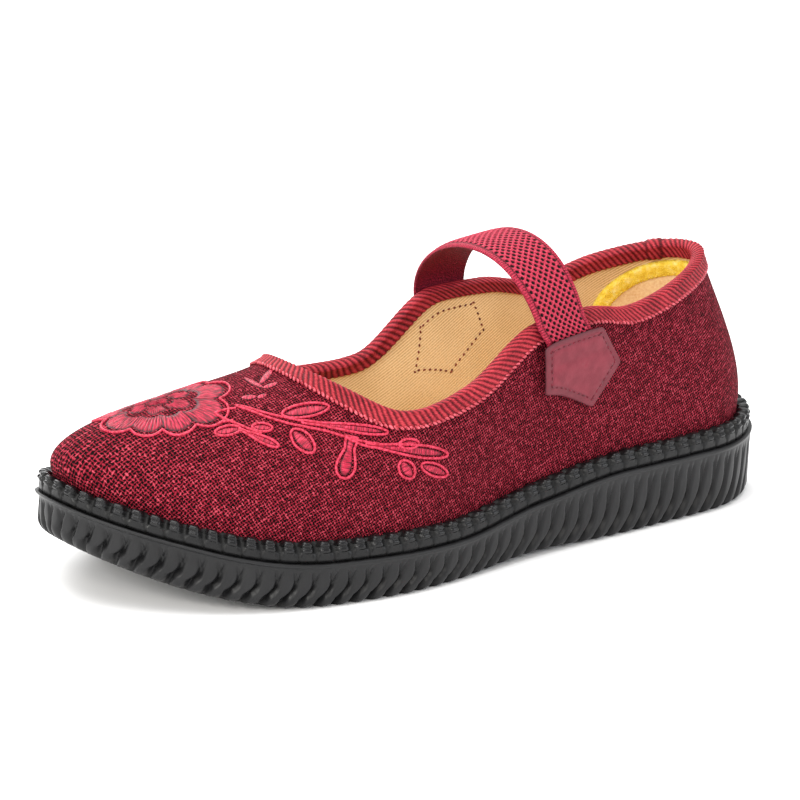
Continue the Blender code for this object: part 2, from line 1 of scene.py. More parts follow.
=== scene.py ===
# %% [markdown]
# # A Chinese cloth shoe, dressed
#
# The frame is a shoe that has already been built as plain solids: a ribbed sole, a beaded welt, a
# hollow cloth wall, a folded tape, an elastic strap and its two patches. This lesson gives each of
# them the surface that the real one has. Everything is in metres, +X runs to the toe, +Y to the
# outer side of the left foot, and the floor is at zero.

# %% Load the frame
import math

import bmesh
import bpy
import numpy as np
from mathutils import Matrix, Vector
from mathutils.bvhtree import BVHTree


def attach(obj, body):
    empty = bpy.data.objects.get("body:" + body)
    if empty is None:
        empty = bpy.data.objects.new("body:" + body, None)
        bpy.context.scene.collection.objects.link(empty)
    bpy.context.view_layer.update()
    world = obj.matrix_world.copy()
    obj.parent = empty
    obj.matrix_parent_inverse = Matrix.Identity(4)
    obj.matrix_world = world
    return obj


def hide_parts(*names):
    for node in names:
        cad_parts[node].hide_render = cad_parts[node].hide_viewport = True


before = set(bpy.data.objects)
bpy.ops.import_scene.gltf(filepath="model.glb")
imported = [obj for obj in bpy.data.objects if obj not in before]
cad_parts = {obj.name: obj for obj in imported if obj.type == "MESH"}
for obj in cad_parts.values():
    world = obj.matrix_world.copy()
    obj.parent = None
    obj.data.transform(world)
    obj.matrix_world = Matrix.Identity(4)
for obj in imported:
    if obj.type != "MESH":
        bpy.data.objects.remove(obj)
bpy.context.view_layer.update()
print("nodes", sorted(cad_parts))

# %% [markdown]
# ## The shoe's own sizes
#
# A shoemaker works from a last, and every piece is cut to it. Here the last is a set of short
# tables: how wide the sole is along its length, how high the collar stands, and how the cloth
# bulges between the two. They are the tables that the solids were made from, so a fine piece lands
# exactly where its plain solid was.

# %% Sizes of the sole, the collar and the strap
MM = 0.001
CLEARANCE = 0.0003
DENSE = 401                 # samples along one side of an outline
RIBS_PER_SIDE = 52

SHOE_LENGTH = 0.250
BALL_WIDTH = 0.092
HEEL_ROUND = 0.034
TOE_ROUND = 0.060
HEEL_FULLNESS = 2.2
TOE_FULLNESS = 2.25
TOE_SWING = 0.0115
HEEL_THICKNESS = 0.0215
FOREPART_THICKNESS = 0.0130
TOE_SPRING = 0.0185
ARCH_RISE = 0.0013
LIP_REACH = 0.0013
LIP_THICKNESS = 0.0010
RIB_DEPTH = 0.0017
RIB_SLANT = 0.0030
WALL_FOOT_INSET = 0.0008
EDGE_ROUND = 0.0030
WELT_HEIGHT = 0.0070

UPPER_INSET = 0.0053
UPPER_THICKNESS = 0.0018
OPENING_BACK = 0.0188
OPENING_LENGTH = 0.1550
OPENING_WIDTH = 0.072
OPENING_BACK_ROUND = 0.0336
OPENING_FRONT_ROUND = 0.0272
COLLAR_RISE = 0.0577
BINDING_REACH = 0.0050
BINDING_THICKNESS = 0.0010
INSOLE_THICKNESS = 0.0030
INSOLE_GAP = 0.0005

STRAP_WIDTH = 0.0190
STRAP_THICKNESS = 0.0016
STRAP_OUTER_AT = 0.097
STRAP_INNER_AT = 0.0985
STRAP_RISE_OUTER = 0.0435
STRAP_RISE_INNER = 0.0235
STRAP_LEAN = 0.0115
STRAP_TUCK = 0.008
PATCH_WIDTH = 0.026
PATCH_DROP = 0.027
PATCH_THICKNESS = 0.0010
PATCH_EASE = 0.018
PATCH_AHEAD = {"outer": 0.0, "inner": 0.0035}
PATCH_FORWARD = {"outer": 0.0, "inner": 0.25}

SPRING_START = 0.73
ARCH_SPAN = (0.28, 0.58)
SWING_START = 0.45

# %% Tables of the last: each column is read along the first one
SOLE_CUTS = {
    "along": (0.00, 0.16, 0.42, 0.66, 0.86, 1.00),
    "outer": (0.320, 0.374, 0.425, 0.520, 0.462, 0.366),
    "inner": (0.326, 0.359, 0.337, 0.480, 0.459, 0.369),
}
SOLE_STEP = {
    "along": (0.00, 0.12, 0.28, 0.42, 0.56, 0.72, 0.88, 1.00),
    "heel": (1.00, 0.88, 0.88, 0.33, -0.06, 0.02, 0.08, -0.22),
}
COLLAR_CUTS = {
    "along": (0.00, 0.20, 0.45, 0.70, 1.00),
    "outer": (0.254, 0.338, 0.406, 0.470, 0.533),
    "inner": (0.316, 0.338, 0.358, 0.383, 0.472),
}
COLLAR_HEIGHTS = {
    "along": (0.00, 0.14, 0.30, 0.42, 0.54, 0.72, 0.88, 1.00),
    "outer": (1.000, 0.930, 0.850, 0.910, 0.925, 0.740, 0.675, 0.830),
    "inner": (1.000, 0.900, 0.800, 0.865, 0.890, 0.640, 0.625, 0.830),
}
CUT_SPREAD = {
    "sole": (0.00, 0.10, 0.45, 0.70, 1.00),
    "collar": (0.00, 0.10, 0.60, 0.83, 1.00),
}
UPPER_CURVES = {
    "round": (0.00, 0.20, 0.45, 0.75, 1.00),
    "lower_in": (-0.16, -0.11, 0.00, 0.06, -0.13),
    "lower_up": (0.30, 0.34, 0.47, 0.47, 0.62),
    "upper_in": (0.48, 0.62, 0.46, 0.84, 0.63),
    "upper_up": (0.64, 0.72, 0.87, 0.79, 0.75),
}
PATCH_CORNERS = {
    "side": (-0.50, 0.46, 0.60, -0.10, -0.64),
    "down": (0.00, 0.00, 0.50, 0.96, 0.48),
}

# %% [markdown]
# ## Reading the last
#
# A table has only five or six rows, so what lies between them is read along a monotone cubic: it
# passes through every row and never overshoots. `turn` says where on a loop a point is: 0 at the
# back of the heel, 1 at the toe by way of the outer side, 2 at the heel again by the inner side.


# %% Read a column between its rows
def smooth_column(table, knots, column, at, mirrored=False):
    """Read a table's column along a monotone cubic."""
    x = np.asarray(table[knots], float)
    y = np.asarray(table[column], float)
    if mirrored:
        x = np.concatenate([[2 * x[0] - x[1]], x, [2 * x[-1] - x[-2]]])
        y = np.concatenate([[y[1]], y, [y[-2]]])
    step = np.diff(x)
    slope = np.diff(y) / step
    tangent = np.zeros_like(y)
    agree = slope[:-1] * slope[1:] > 0
    near = 2 * step[1:] + step[:-1]
    far = step[1:] + 2 * step[:-1]
    left = np.where(agree, slope[:-1], 1.0)
    right = np.where(agree, slope[1:], 1.0)
    tangent[1:-1] = np.where(agree, (near + far) / (near / left + far / right), 0.0)
    tangent[0] = slope[0]
    tangent[-1] = slope[-1]
    at = np.clip(at, x[0], x[-1])
    row = np.clip(np.searchsorted(x, at, side="right") - 1, 0, len(x) - 2)
    h = step[row]
    s = (at - x[row]) / h
    return (
        (1 + 2 * s) * (1 - s) ** 2 * y[row]
        + s * (1 - s) ** 2 * h * tangent[row]
        + s * s * (3 - 2 * s) * y[row + 1]
        + s * s * (s - 1) * h * tangent[row + 1]
    )


def rounded_end(distance, reach, fullness):
    """0 at the very end, 1 from reach inwards, along a superellipse."""
    t = np.clip(1 - distance / reach, 0, 1)
    return (1 - t ** fullness) ** (1 / fullness)


def swing(share):
    """Bend of the shoe's middle line towards the big toe."""
    return -TOE_SWING * np.clip((share - SWING_START) / (1 - SWING_START), 0, 1) ** 2


def smooth_step(t):
    """Ease from 0 to 1 without a corner at either end."""
    t = np.clip(t, 0, 1)
    return t * t * (3 - 2 * t)


# %% Lines and directions
def unit(vectors):
    """The same directions, each of length one."""
    return vectors / np.linalg.norm(vectors, axis=-1, keepdims=True)


def arc_length(line):
    """Distance along a line to each of its points."""
    return np.concatenate([[0], np.cumsum(np.linalg.norm(np.diff(line, axis=0), axis=-1))])


def even_line(line, count, closed=False):
    """Sample a line again at equal steps, and say how long it is."""
    length = arc_length(line)
    even = np.linspace(0, length[-1], count, endpoint=not closed)
    sampled = [np.interp(even, length, line[:, k]) for k in range(line.shape[1])]
    return np.stack(sampled, axis=-1), length[-1]


def bezier(t, start, leave, arrive, stop):
    """Cubic Bezier curve between two ends."""
    return (
        (1 - t) ** 3 * start + 3 * t * (1 - t) ** 2 * leave
        + 3 * t * t * (1 - t) * arrive + t ** 3 * stop)


# %% Outline of the sole and line of the collar
def spaced(x, *columns):
    """Sample a line again at equal steps along it."""
    length = arc_length(np.stack([x, columns[0]], axis=-1))
    even = np.linspace(0, length[-1], DENSE)
    return [np.interp(even, length, c) for c in (x, *columns)]


def end_spacing():
    """Shares from 0 to 1 that crowd at both ends, where an outline turns."""
    return (1 - np.cos(np.linspace(0, math.pi, DENSE))) / 2


def bottom_height(share):
    """Underside of the sole: flat heel and ball, low arch, sprung toe."""
    spring = TOE_SPRING * np.clip((share - SPRING_START) / (1 - SPRING_START), 0, 1) ** 2
    along_arch = np.clip((share - ARCH_SPAN[0]) / (ARCH_SPAN[1] - ARCH_SPAN[0]), 0, 1)
    return spring + ARCH_RISE * np.sin(math.pi * along_arch) ** 2


def lip_height(share):
    step = smooth_column(SOLE_STEP, "along", "heel", share)
    return bottom_height(share) + FOREPART_THICKNESS + (HEEL_THICKNESS - FOREPART_THICKNESS) * step


def sole_side(side):
    share = end_spacing()
    half = BALL_WIDTH * smooth_column(SOLE_CUTS, "along", side, share)
    half = half * rounded_end(share * SHOE_LENGTH, HEEL_ROUND, HEEL_FULLNESS)
    half = half * rounded_end((1 - share) * SHOE_LENGTH, TOE_ROUND, TOE_FULLNESS)
    sign = 1 if side == "outer" else -1
    return spaced(share * SHOE_LENGTH, swing(share) + sign * half)


def collar_side(side):
    share = end_spacing()
    half = OPENING_WIDTH * smooth_column(COLLAR_CUTS, "along", side, share)
    half = half * rounded_end(share * OPENING_LENGTH, OPENING_BACK_ROUND, 2)
    half = half * rounded_end((1 - share) * OPENING_LENGTH, OPENING_FRONT_ROUND, 2)
    x = OPENING_BACK + share * OPENING_LENGTH
    sign = 1 if side == "outer" else -1
    y = swing(x / SHOE_LENGTH) + sign * half
    z = lip_height(x / SHOE_LENGTH) + COLLAR_RISE * smooth_column(COLLAR_HEIGHTS, "along", side, share)
    return spaced(x, y, z)


def join_sides(outer, inner):
    """Close a loop from its two sides, with the turn of each point."""
    turn = np.concatenate([np.linspace(0, 1, DENSE), np.linspace(1, 2, DENSE)[1:]])
    columns = [np.concatenate([a, b[::-1][1:]]) for a, b in zip(outer, inner)]
    return turn, np.stack(columns, axis=-1)


SOLE_TURN, SOLE_LOOP = join_sides(sole_side("outer"), sole_side("inner"))
COLLAR_TURN, COLLAR_LOOP = join_sides(collar_side("outer"), collar_side("inner"))
MIDDLE = (SOLE_LOOP.min(axis=0) + SOLE_LOOP.max(axis=0)) / 2
print("sole in mm", np.round(1000 * (SOLE_LOOP.max(axis=0) - SOLE_LOOP.min(axis=0)), 1))


# %% Points on the sole
def sole_edge(turn):
    """Point on the lip's outline and the level direction outwards from it."""
    def read(t):
        t = np.mod(t, 2)
        return np.stack([np.interp(t, SOLE_TURN, SOLE_LOOP[:, k]) for k in (0, 1)], axis=-1)

    nudge = 1 / DENSE
    run = unit(read(turn + nudge) - read(turn - nudge))
    return read(turn), np.stack([-run[..., 1], run[..., 0]], axis=-1)


def sole_points(turn, inset, height_over):
    """Points inside the lip's outline, at a height worked out from the share of the length."""
    edge, outwards = sole_edge(turn)
    plan = edge - outwards * np.asarray(inset)[..., None]
    height = height_over(plan[..., 0] / SHOE_LENGTH)
    return np.concatenate([plan - MIDDLE, height[..., None]], axis=-1)


def sole_top(share):
    return lip_height(share) + LIP_THICKNESS / 2


# %% [markdown]
# ## The cloth wall
#
# Each cut through the upper is one Bezier curve from the welt to the collar. Soft creases are then
# pressed into it: a trough where the foot bends the cloth at the ball, a ridge beside it, and the
# slight hollow under the strap's patch. A crease is a line between two places on the wall, with a
# width and a depth, and it fades away to both sides.

# %% Creases of the cloth
CREASES = {
    "from_turn": (0.545, 0.600, 0.655, 0.30, 1.335, 1.42, 0.14, 1.86),
    "from_rise": (0.84, 0.78, 0.66, 0.62, 0.70, 0.80, 0.80, 0.82),
    "to_turn": (0.640, 0.690, 0.745, 0.44, 1.30, 1.36, 0.17, 1.83),
    "to_rise": (0.18, 0.16, 0.14, 0.22, 0.16, 0.14, 0.30, 0.30),
    "width": (6.0, 5.5, 6.5, 8.0, 6.0, 6.0, 7.0, 7.0),
    "depth": (0.45, -0.30, 0.40, 0.35, 0.45, -0.30, 0.30, 0.30),
}


def plain_face(turn, rise):
    """Outer face of the upper before its creases: rise is 0 at the welt and 1 at the collar."""
    turn = np.mod(turn, 2)
    turn, rise = np.broadcast_arrays(turn, rise)
    side = np.where(turn <= 1, turn, 2 - turn)
    foot = sole_points(turn, np.full(turn.shape, UPPER_INSET), lambda share: lip_height(share) + WELT_HEIGHT)
    spread = smooth_column(CUT_SPREAD, "sole", "collar", side)
    at = np.where(turn <= 1, spread, 2 - spread)
    top = np.stack([np.interp(at, COLLAR_TURN, COLLAR_LOOP[:, k]) for k in (0, 1, 2)], axis=-1)
    top = top - np.array([MIDDLE[0], MIDDLE[1], 0.0])
    span = top - foot
    handles = []
    for end in ("lower", "upper"):
        inwards = smooth_column(UPPER_CURVES, "round", end + "_in", side, mirrored=True)
        up = smooth_column(UPPER_CURVES, "round", end + "_up", side, mirrored=True)
        handles.append(foot + span * np.stack([inwards, inwards, up], axis=-1))
    return bezier(rise[..., None], foot, handles[0], handles[1], top)


def face_direction(turn, rise):
    """Directions up along the wall and out of it."""
    nudge = 0.004
    up = plain_face(turn, rise + nudge) - plain_face(turn, rise - nudge)
    along = plain_face(turn + nudge, rise) - plain_face(turn - nudge, rise)
    return unit(up), unit(np.cross(up, along))


def crease_depth(points):
    """How far the cloth is pressed in at each point."""
    pressed = np.zeros(points.shape[:-1])
    for turn_a, rise_a, turn_b, rise_b, width, depth in zip(*CREASES.values()):
        start = plain_face(np.array(turn_a), np.array(rise_a))
        stop = plain_face(np.array(turn_b), np.array(rise_b))
        run = stop - start
        share = ((points - start) @ run) / (run @ run)
        nearest = start + np.clip(share, 0, 1)[..., None] * run
        away = np.linalg.norm(points - nearest, axis=-1)
        pressed = pressed + depth * MM * np.exp(-(away / (width * MM)) ** 2)
    return pressed


# %% Places beside the wall, measured down from the collar's edge
def even_turns(count):
    """Turns that are equal steps along the collar, and how long the collar is."""
    dense = np.linspace(0, 2, 8 * DENSE)
    length = arc_length(plain_face(dense, 1.0))
    return np.interp(np.arange(count) / count * length[-1], length, dense), length[-1]


def beside_wall(turn, depth, offset):
    """Points at depths below the collar's edge (above it when negative), off the outer face.

    turn has one value for each column, depth and offset one for each column and row."""
    turn = np.asarray(turn, float)
    depth, offset = np.broadcast_arrays(np.asarray(depth, float), np.asarray(offset, float))
    depth = np.broadcast_to(depth, (len(turn), depth.shape[-1]))
    offset = np.broadcast_to(offset, depth.shape)
    samples = np.linspace(1, 0, 61)
    lines = plain_face(turn[:, None], samples[None, :])
    steps = np.linalg.norm(np.diff(lines, axis=1), axis=-1)
    below = np.concatenate([np.zeros((len(turn), 1)), np.cumsum(steps, axis=1)], axis=1)
    rise = np.stack([np.interp(np.maximum(d, 0), b, samples) for d, b in zip(depth, below)])
    turns = np.broadcast_to(turn[:, None], rise.shape)
    up, out = face_direction(turns, rise)
    face = plain_face(turns, rise)
    face = face - out * crease_depth(face)[..., None]
    return face + out * offset[..., None] + up * np.maximum(-depth, 0)[..., None], out


def turn_at(side, from_back):
    """Turn whose cut ends on the collar this far ahead of the back of the lip."""
    turns = np.linspace(0, 1, DENSE) if side == "outer" else np.linspace(2, 1, DENSE)
    return float(np.interp(from_back - MIDDLE[0], plain_face(turns, 1.0)[:, 0], turns))


def turn_beyond(turn, distance):
    """Turn that lies this distance further towards the toe along the collar."""
    direction = 1 if turn < 1 else -1
    span = direction * np.linspace(-0.4, 0.4, DENSE)
    length = arc_length(plain_face(turn + span, 1.0))
    return turn + np.interp(np.asarray(distance) + length[DENSE // 2], length, span)


# %% [markdown]
# ## Skins from grids
#
# Almost every piece here is a grid of points wrapped round or laid along something. One helper
# turns such grids into a mesh: it skins each with quads, gives the quads a UV map in millimetres,
# which the weaves are drawn on, and welds the grids where their edges meet, so that a piece made
# of several grids is still one closed body.


# %% Grids to a mesh
def put_in_scene(name, data):
    """New object at the origin."""
    thing = bpy.data.objects.new(name, data)
    bpy.context.scene.collection.objects.link(thing)
    return thing


def grid_faces(columns, rows, closed_u, closed_v):
    """Corner numbers of each quad, and its corners' places in the grid's own UV table."""
    i, j = np.meshgrid(
        np.arange(columns if closed_u else columns - 1),
        np.arange(rows if closed_v else rows - 1), indexing="ij")
    corners = [(i, j), (i + 1, j), (i + 1, j + 1), (i, j + 1)]
    quads = np.stack([(a % columns) * rows + b % rows for a, b in corners], axis=-1).reshape(-1, 4)
    places = np.stack([np.stack([a, b], axis=-1) for a, b in corners], axis=2).reshape(-1, 4, 2)
    return quads, places


def skin(name, grids, weld=True, sharp=None):
    """One mesh from several grids. Each grid says its points and may say uv, hollow, closed."""
    points, quads, maps, hollows = [], [], [], []
    start = 0
    for grid in grids:
        place = np.asarray(grid["points"], float)
        columns, rows = place.shape[:2]
        closed_u, closed_v = grid.get("closed", (False, False))
        faces, corners = grid_faces(columns, rows, closed_u, closed_v)
        points.append(place.reshape(-1, 3))
        quads.append(faces + start)
        uv = grid.get("uv")
        if uv is None:
            uv = np.zeros((columns + 1, rows + 1, 2))
        maps.append(uv[corners[..., 0], corners[..., 1]].reshape(-1, 2))
        hollows.append(np.broadcast_to(grid.get("hollow", 0.0), (columns, rows)).ravel())
        start += columns * rows
    mesh = bpy.data.meshes.new(name)
    mesh.from_pydata(np.concatenate(points).tolist(), [], np.concatenate(quads).tolist())
    layer = mesh.uv_layers.new(name="millimetres")
    layer.data.foreach_set("uv", np.concatenate(maps).astype(np.float32).ravel())
    # The hollow attribute says how far the shader darkens each point: painted shade in grooves, holes and
    # gaps, and on the patches also their darker rim.
    hollow = mesh.attributes.new("hollow", "FLOAT", "POINT")
    hollow.data.foreach_set("value", np.concatenate(hollows).astype(np.float32))
    bm = bmesh.new()
    bm.from_mesh(mesh)
    if weld:
        bmesh.ops.remove_doubles(bm, verts=bm.verts, dist=0.002 * MM)
    bmesh.ops.recalc_face_normals(bm, faces=bm.faces)
    bm.to_mesh(mesh)
    bm.free()
    mesh.shade_smooth()
    if sharp:
        mesh.set_sharp_from_angle(angle=math.radians(sharp))
    return mesh


def rungs(ring, across, lift=None):
    """Grid over a closed ring, from its outer side to its inner side, heel to toe."""
    half = len(ring) // 2
    outer = ring[:half + 1]
    inner = np.concatenate([ring[:1], ring[half:][::-1]])
    share = np.linspace(0, 1, across + 1)[None, :, None]
    grid = outer[:, None] * (1 - share) + inner[:, None] * share
    if lift is not None:
        grid[..., 2] = grid[..., 2] + lift(grid, share[..., 0])
    return grid


def flat_map(points):
    """UV of a grid seen from above, in millimetres."""
    return np.pad(points[..., :2] / MM, ((0, 1), (0, 1), (0, 0)), mode="edge")


def add_piece(name, mesh, material, replaces=()):
    """Put a finished mesh in the scene, on the shoe's one body."""
    piece = put_in_scene(name, mesh)
    mesh.materials.clear()
    mesh.materials.append(material)
    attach(piece, "root")
    if replaces:
        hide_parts(*replaces)
    triangles = sum(len(face.vertices) - 2 for face in mesh.polygons)
    box = np.array(piece.bound_box) / MM
    print(f"{name}: {triangles} triangles, mm {box.min(axis=0).round(1)} to {box.max(axis=0).round(1)}")
    return piece


# %% [markdown]
# ## Geometry Nodes for what repeats
#
# The rope edge of the tape and every row of stitches are one small shape again and again along a
# line, the cord of the embroidery is one thread along many lines, and towelling is one loop
# scattered over a band. A tree of nodes does this better than a loop of code: it spaces the copies
# evenly, turns each to the line, and its sizes stay inputs that can be changed. A line is a string
# of vertices that carries one direction at each of them, pointing out of the shoe.


# %% A helper for nodes, and a path that nodes can follow
def add_node(tree, kind, settings=None, inputs=None):
    """Add a node, set its options, and link or fill its inputs."""
    node = tree.nodes.new(kind)
    for name, value in (settings or {}).items():
        setattr(node, name, value)
    for key, value in (inputs or {}).items():
        if isinstance(value, bpy.types.NodeSocket):
            tree.links.new(value, node.inputs[key])
        else:
            node.inputs[key].default_value = value
    return node


def path_object(name, lines):
    """Lines of vertices, each closed or open, with the direction out of the shoe at each vertex."""
    points, outwards, edges = [], [], []
    for line, out, closed in lines:
        first = len(points)
        count = len(line)
        points.extend(line)
        outwards.extend(out)
        edges.extend((first + k, first + (k + 1) % count) for k in range(count if closed else count - 1))
    mesh = bpy.data.meshes.new(name)
    mesh.from_pydata([tuple(p) for p in points], edges, [])
    stored = mesh.attributes.new("outwards", "FLOAT_VECTOR", "POINT")
    stored.data.foreach_set("vector", np.asarray(outwards, np.float32).ravel())
    return put_in_scene(name, mesh)


def new_tree(name, inputs):
    """Empty geometry tree with named inputs, and the sockets that they arrive at."""
    tree = bpy.data.node_groups.new(name, "GeometryNodeTree")
    tree.interface.new_socket("Geometry", in_out="INPUT", socket_type="NodeSocketGeometry")
    for label, kind in inputs:
        tree.interface.new_socket(label, in_out="INPUT", socket_type="NodeSocket" + kind)
    tree.interface.new_socket("Geometry", in_out="OUTPUT", socket_type="NodeSocketGeometry")
    return tree, add_node(tree, "NodeGroupInput").outputs


def close_tree(tree, given, geometry):
    """Make the copies real, give them their finish and hand them out."""
    solid = add_node(tree, "GeometryNodeRealizeInstances", {}, {"Geometry": geometry.outputs[0]})
    finished = add_node(tree, "GeometryNodeSetMaterial", {},
                        {"Geometry": solid.outputs[0], "Material": given["Finish"]})
    add_node(tree, "NodeGroupOutput", {}, {"Geometry": finished.outputs[0]})
    return tree


# %% Tree one: copies of a small shape along a path
def copies_tree():
    """Evenly spaced copies, X along the path and Z out of the shoe, each a little uneven."""
    tree, given = new_tree("copies_along_a_path", [
        ("Copies", "Int"), ("Size", "Float"), ("Lean", "Float"), ("Unevenness", "Float"),
        ("Seed", "Int"), ("Shape", "Object"), ("Finish", "Material")])
    curve = add_node(tree, "GeometryNodeMeshToCurve", {}, {"Mesh": given["Geometry"]})
    points = add_node(tree, "GeometryNodeResampleCurve", {"mode": "COUNT"},
                      {"Curve": curve.outputs[0], "Count": given["Copies"]})
    tangent = add_node(tree, "GeometryNodeInputTangent")
    outwards = add_node(tree, "GeometryNodeInputNamedAttribute", {"data_type": "FLOAT_VECTOR"},
                        {"Name": "outwards"})
    along = add_node(tree, "FunctionNodeAlignRotationToVector", {"axis": "X"},
                     {"Vector": tangent.outputs[0]})
    facing = add_node(tree, "FunctionNodeAlignRotationToVector", {"axis": "Z", "pivot_axis": "X"},
                      {"Rotation": along.outputs[0], "Vector": outwards.outputs[0]})
    least = add_node(tree, "ShaderNodeMath", {"operation": "SUBTRACT"},
                     {0: given["Lean"], 1: given["Unevenness"]})
    most = add_node(tree, "ShaderNodeMath", {"operation": "ADD"},
                    {0: given["Lean"], 1: given["Unevenness"]})
    lean = add_node(tree, "FunctionNodeRandomValue", {"data_type": "FLOAT"},
                    {2: least.outputs[0], 3: most.outputs[0], "Seed": given["Seed"]})
    about = add_node(tree, "FunctionNodeAxisAngleToRotation", {},
                     {"Axis": (0.0, 0.0, 1.0), "Angle": lean.outputs[1]})
    turned = add_node(tree, "FunctionNodeRotateRotation", {"rotation_space": "LOCAL"},
                      {"Rotation": facing.outputs[0], "Rotate By": about.outputs[0]})
    shape = add_node(tree, "GeometryNodeObjectInfo", {}, {"Object": given["Shape"]})
    placed = add_node(tree, "GeometryNodeInstanceOnPoints", {}, {
        "Points": points.outputs[0], "Instance": shape.outputs["Geometry"],
        "Rotation": turned.outputs[0], "Scale": given["Size"]})
    return close_tree(tree, given, placed)


# %% Tree two: a thread along a path
def thread_tree():
    """A round thread along every line of a path."""
    tree, given = new_tree("thread_along_a_path", [
        ("Radius", "Float"), ("Step", "Float"), ("Sides", "Int"), ("Finish", "Material")])
    curve = add_node(tree, "GeometryNodeMeshToCurve", {}, {"Mesh": given["Geometry"]})
    fine = add_node(tree, "GeometryNodeResampleCurve", {"mode": "LENGTH"},
                    {"Curve": curve.outputs[0], "Length": given["Step"]})
    section = add_node(tree, "GeometryNodeCurvePrimitiveCircle", {"mode": "RADIUS"},
                       {"Resolution": given["Sides"], "Radius": given["Radius"]})
    tube = add_node(tree, "GeometryNodeCurveToMesh", {}, {
        "Curve": fine.outputs[0], "Profile Curve": section.outputs[0], "Fill Caps": True})
    smooth = add_node(tree, "GeometryNodeSetShadeSmooth", {}, {"Geometry": tube.outputs[0]})
    return close_tree(tree, given, smooth)


# %% Tree three: loops of pile over a cloth
def pile_tree():
    """Small loops scattered over a mesh, as on towelling, with a fixed seed."""
    tree, given = new_tree("pile_over_a_cloth", [
        ("Gap", "Float"), ("Density", "Float"), ("Seed", "Int"), ("Shape", "Object"),
        ("Finish", "Material")])
    spots = add_node(tree, "GeometryNodeDistributePointsOnFaces", {"distribute_method": "POISSON"}, {
        "Mesh": given["Geometry"], "Distance Min": given["Gap"], "Density Max": given["Density"],
        "Seed": given["Seed"]})
    spin = add_node(tree, "FunctionNodeRandomValue", {"data_type": "FLOAT"},
                    {2: 0.0, 3: math.pi, "Seed": given["Seed"]})
    about = add_node(tree, "FunctionNodeAxisAngleToRotation", {},
                     {"Axis": (0.0, 0.0, 1.0), "Angle": spin.outputs[1]})
    turned = add_node(tree, "FunctionNodeRotateRotation", {"rotation_space": "LOCAL"},
                      {"Rotation": spots.outputs["Rotation"], "Rotate By": about.outputs[0]})
    shape = add_node(tree, "GeometryNodeObjectInfo", {}, {"Object": given["Shape"]})
    placed = add_node(tree, "GeometryNodeInstanceOnPoints", {}, {
        "Points": spots.outputs["Points"], "Instance": shape.outputs["Geometry"],
        "Rotation": turned.outputs[0]})
    return close_tree(tree, given, placed)


COPIES = copies_tree()
THREAD = thread_tree()
PILE = pile_tree()


# %% Run a tree and keep its mesh
def grow(name, source, tree, settings):
    """Evaluate a tree on an object, keep the mesh that it makes and drop the object."""
    modifier = source.modifiers.new(tree.name, "NODES")
    modifier.node_group = tree
    for item in tree.interface.items_tree:
        if item.in_out == "INPUT" and item.name in settings:
            modifier[item.identifier] = settings[item.name]
    source.update_tag()
    bpy.context.view_layer.update()
    ready = source.evaluated_get(bpy.context.evaluated_depsgraph_get())
    mesh = bpy.data.meshes.new_from_object(ready)
    mesh.name = name
    bpy.data.objects.remove(source)
    return mesh


def rounded_block(name, half, roundness, columns=12, rows=8):
    """Closed superellipsoid: half sizes in metres, roundness 1 for an ellipsoid, less for a block."""
    turn = np.linspace(0, 2 * math.pi, columns, endpoint=False)[:, None]
    rise = np.linspace(-math.pi / 2, math.pi / 2, rows + 1)[None, :]

    def power(value):
        return np.sign(value) * np.abs(value) ** roundness

    flat = power(np.cos(rise))
    place = np.stack([
        half[0] * power(np.cos(turn)) * flat,
        half[1] * power(np.sin(turn)) * flat,
        half[2] * power(np.sin(rise)) * np.ones_like(turn)], axis=-1)
    block = put_in_scene(name, skin(name, [{"points": place, "closed": (True, False)}]))
    block.hide_render = True
    return block


# %% [markdown]
# ## Camera
#
# The camera was fitted to the photograph: it stands on the shoe's outer side, in front of it and a
# little above, and its long lens keeps the shoe's lines nearly parallel. It comes before the
# pieces, because the embroidery is laid on the vamp along the camera's rays.

# %% Camera
CAMERA_ROUND = math.radians(54.39)      # from +X towards +Y
CAMERA_UP = math.radians(16.70)
CAMERA_ROLL = math.radians(1.32)
CAMERA_DISTANCE = 1.0929
CAMERA_FOCUS = 3553.6                   # in pixels of the 800 pixel frame
CAMERA_SLIDE = (-0.00608, 0.00773)      # right and up, from the middle of the shoe
FRAME_PIXELS = 800
SENSOR = 36.0


def camera_axes():
    """Right, up and backward directions of the camera."""
    back = np.array([
        math.cos(CAMERA_UP) * math.cos(CAMERA_ROUND),
        math.cos(CAMERA_UP) * math.sin(CAMERA_ROUND),
        math.sin(CAMERA_UP)])
    right = unit(np.cross([0, 0, 1], back))
    up = np.cross(back, right)
    rolled_right = math.cos(CAMERA_ROLL) * right + math.sin(CAMERA_ROLL) * up
    rolled_up = math.cos(CAMERA_ROLL) * up - math.sin(CAMERA_ROLL) * right
    return rolled_right, rolled_up, back


RIGHT, UP, BACK = camera_axes()
AIM = np.array([SHOE_LENGTH / 2 - MIDDLE[0], -MIDDLE[1], 0.035])
EYE = AIM + CAMERA_SLIDE[0] * RIGHT + CAMERA_SLIDE[1] * UP + CAMERA_DISTANCE * BACK


def add_camera():
    data = bpy.data.cameras.new("camera")
    data.sensor_width = SENSOR
    data.lens = CAMERA_FOCUS * SENSOR / FRAME_PIXELS
    data.clip_start = 0.05
    data.clip_end = 20
    camera = put_in_scene("camera", data)
    turned = Matrix([RIGHT, UP, BACK]).transposed().to_4x4()
    camera.matrix_world = Matrix.Translation(EYE) @ turned
    bpy.context.scene.camera = camera
    # Colours are shown as they are measured, so that white paper comes out white.
    bpy.context.scene.view_settings.view_transform = "Standard"
    print("camera at", np.round(EYE, 3), "lens", round(data.lens, 1))


add_camera()


# %% [markdown]
# ## Colours
#
# A colour is written as it looks on a screen, in hex, and turned into the linear light that a
# shader mixes. Patterns are drawn in millimetres on each piece's UV map, or in metres on its
# Object coordinates, so the size of every weave and grain is a real one.

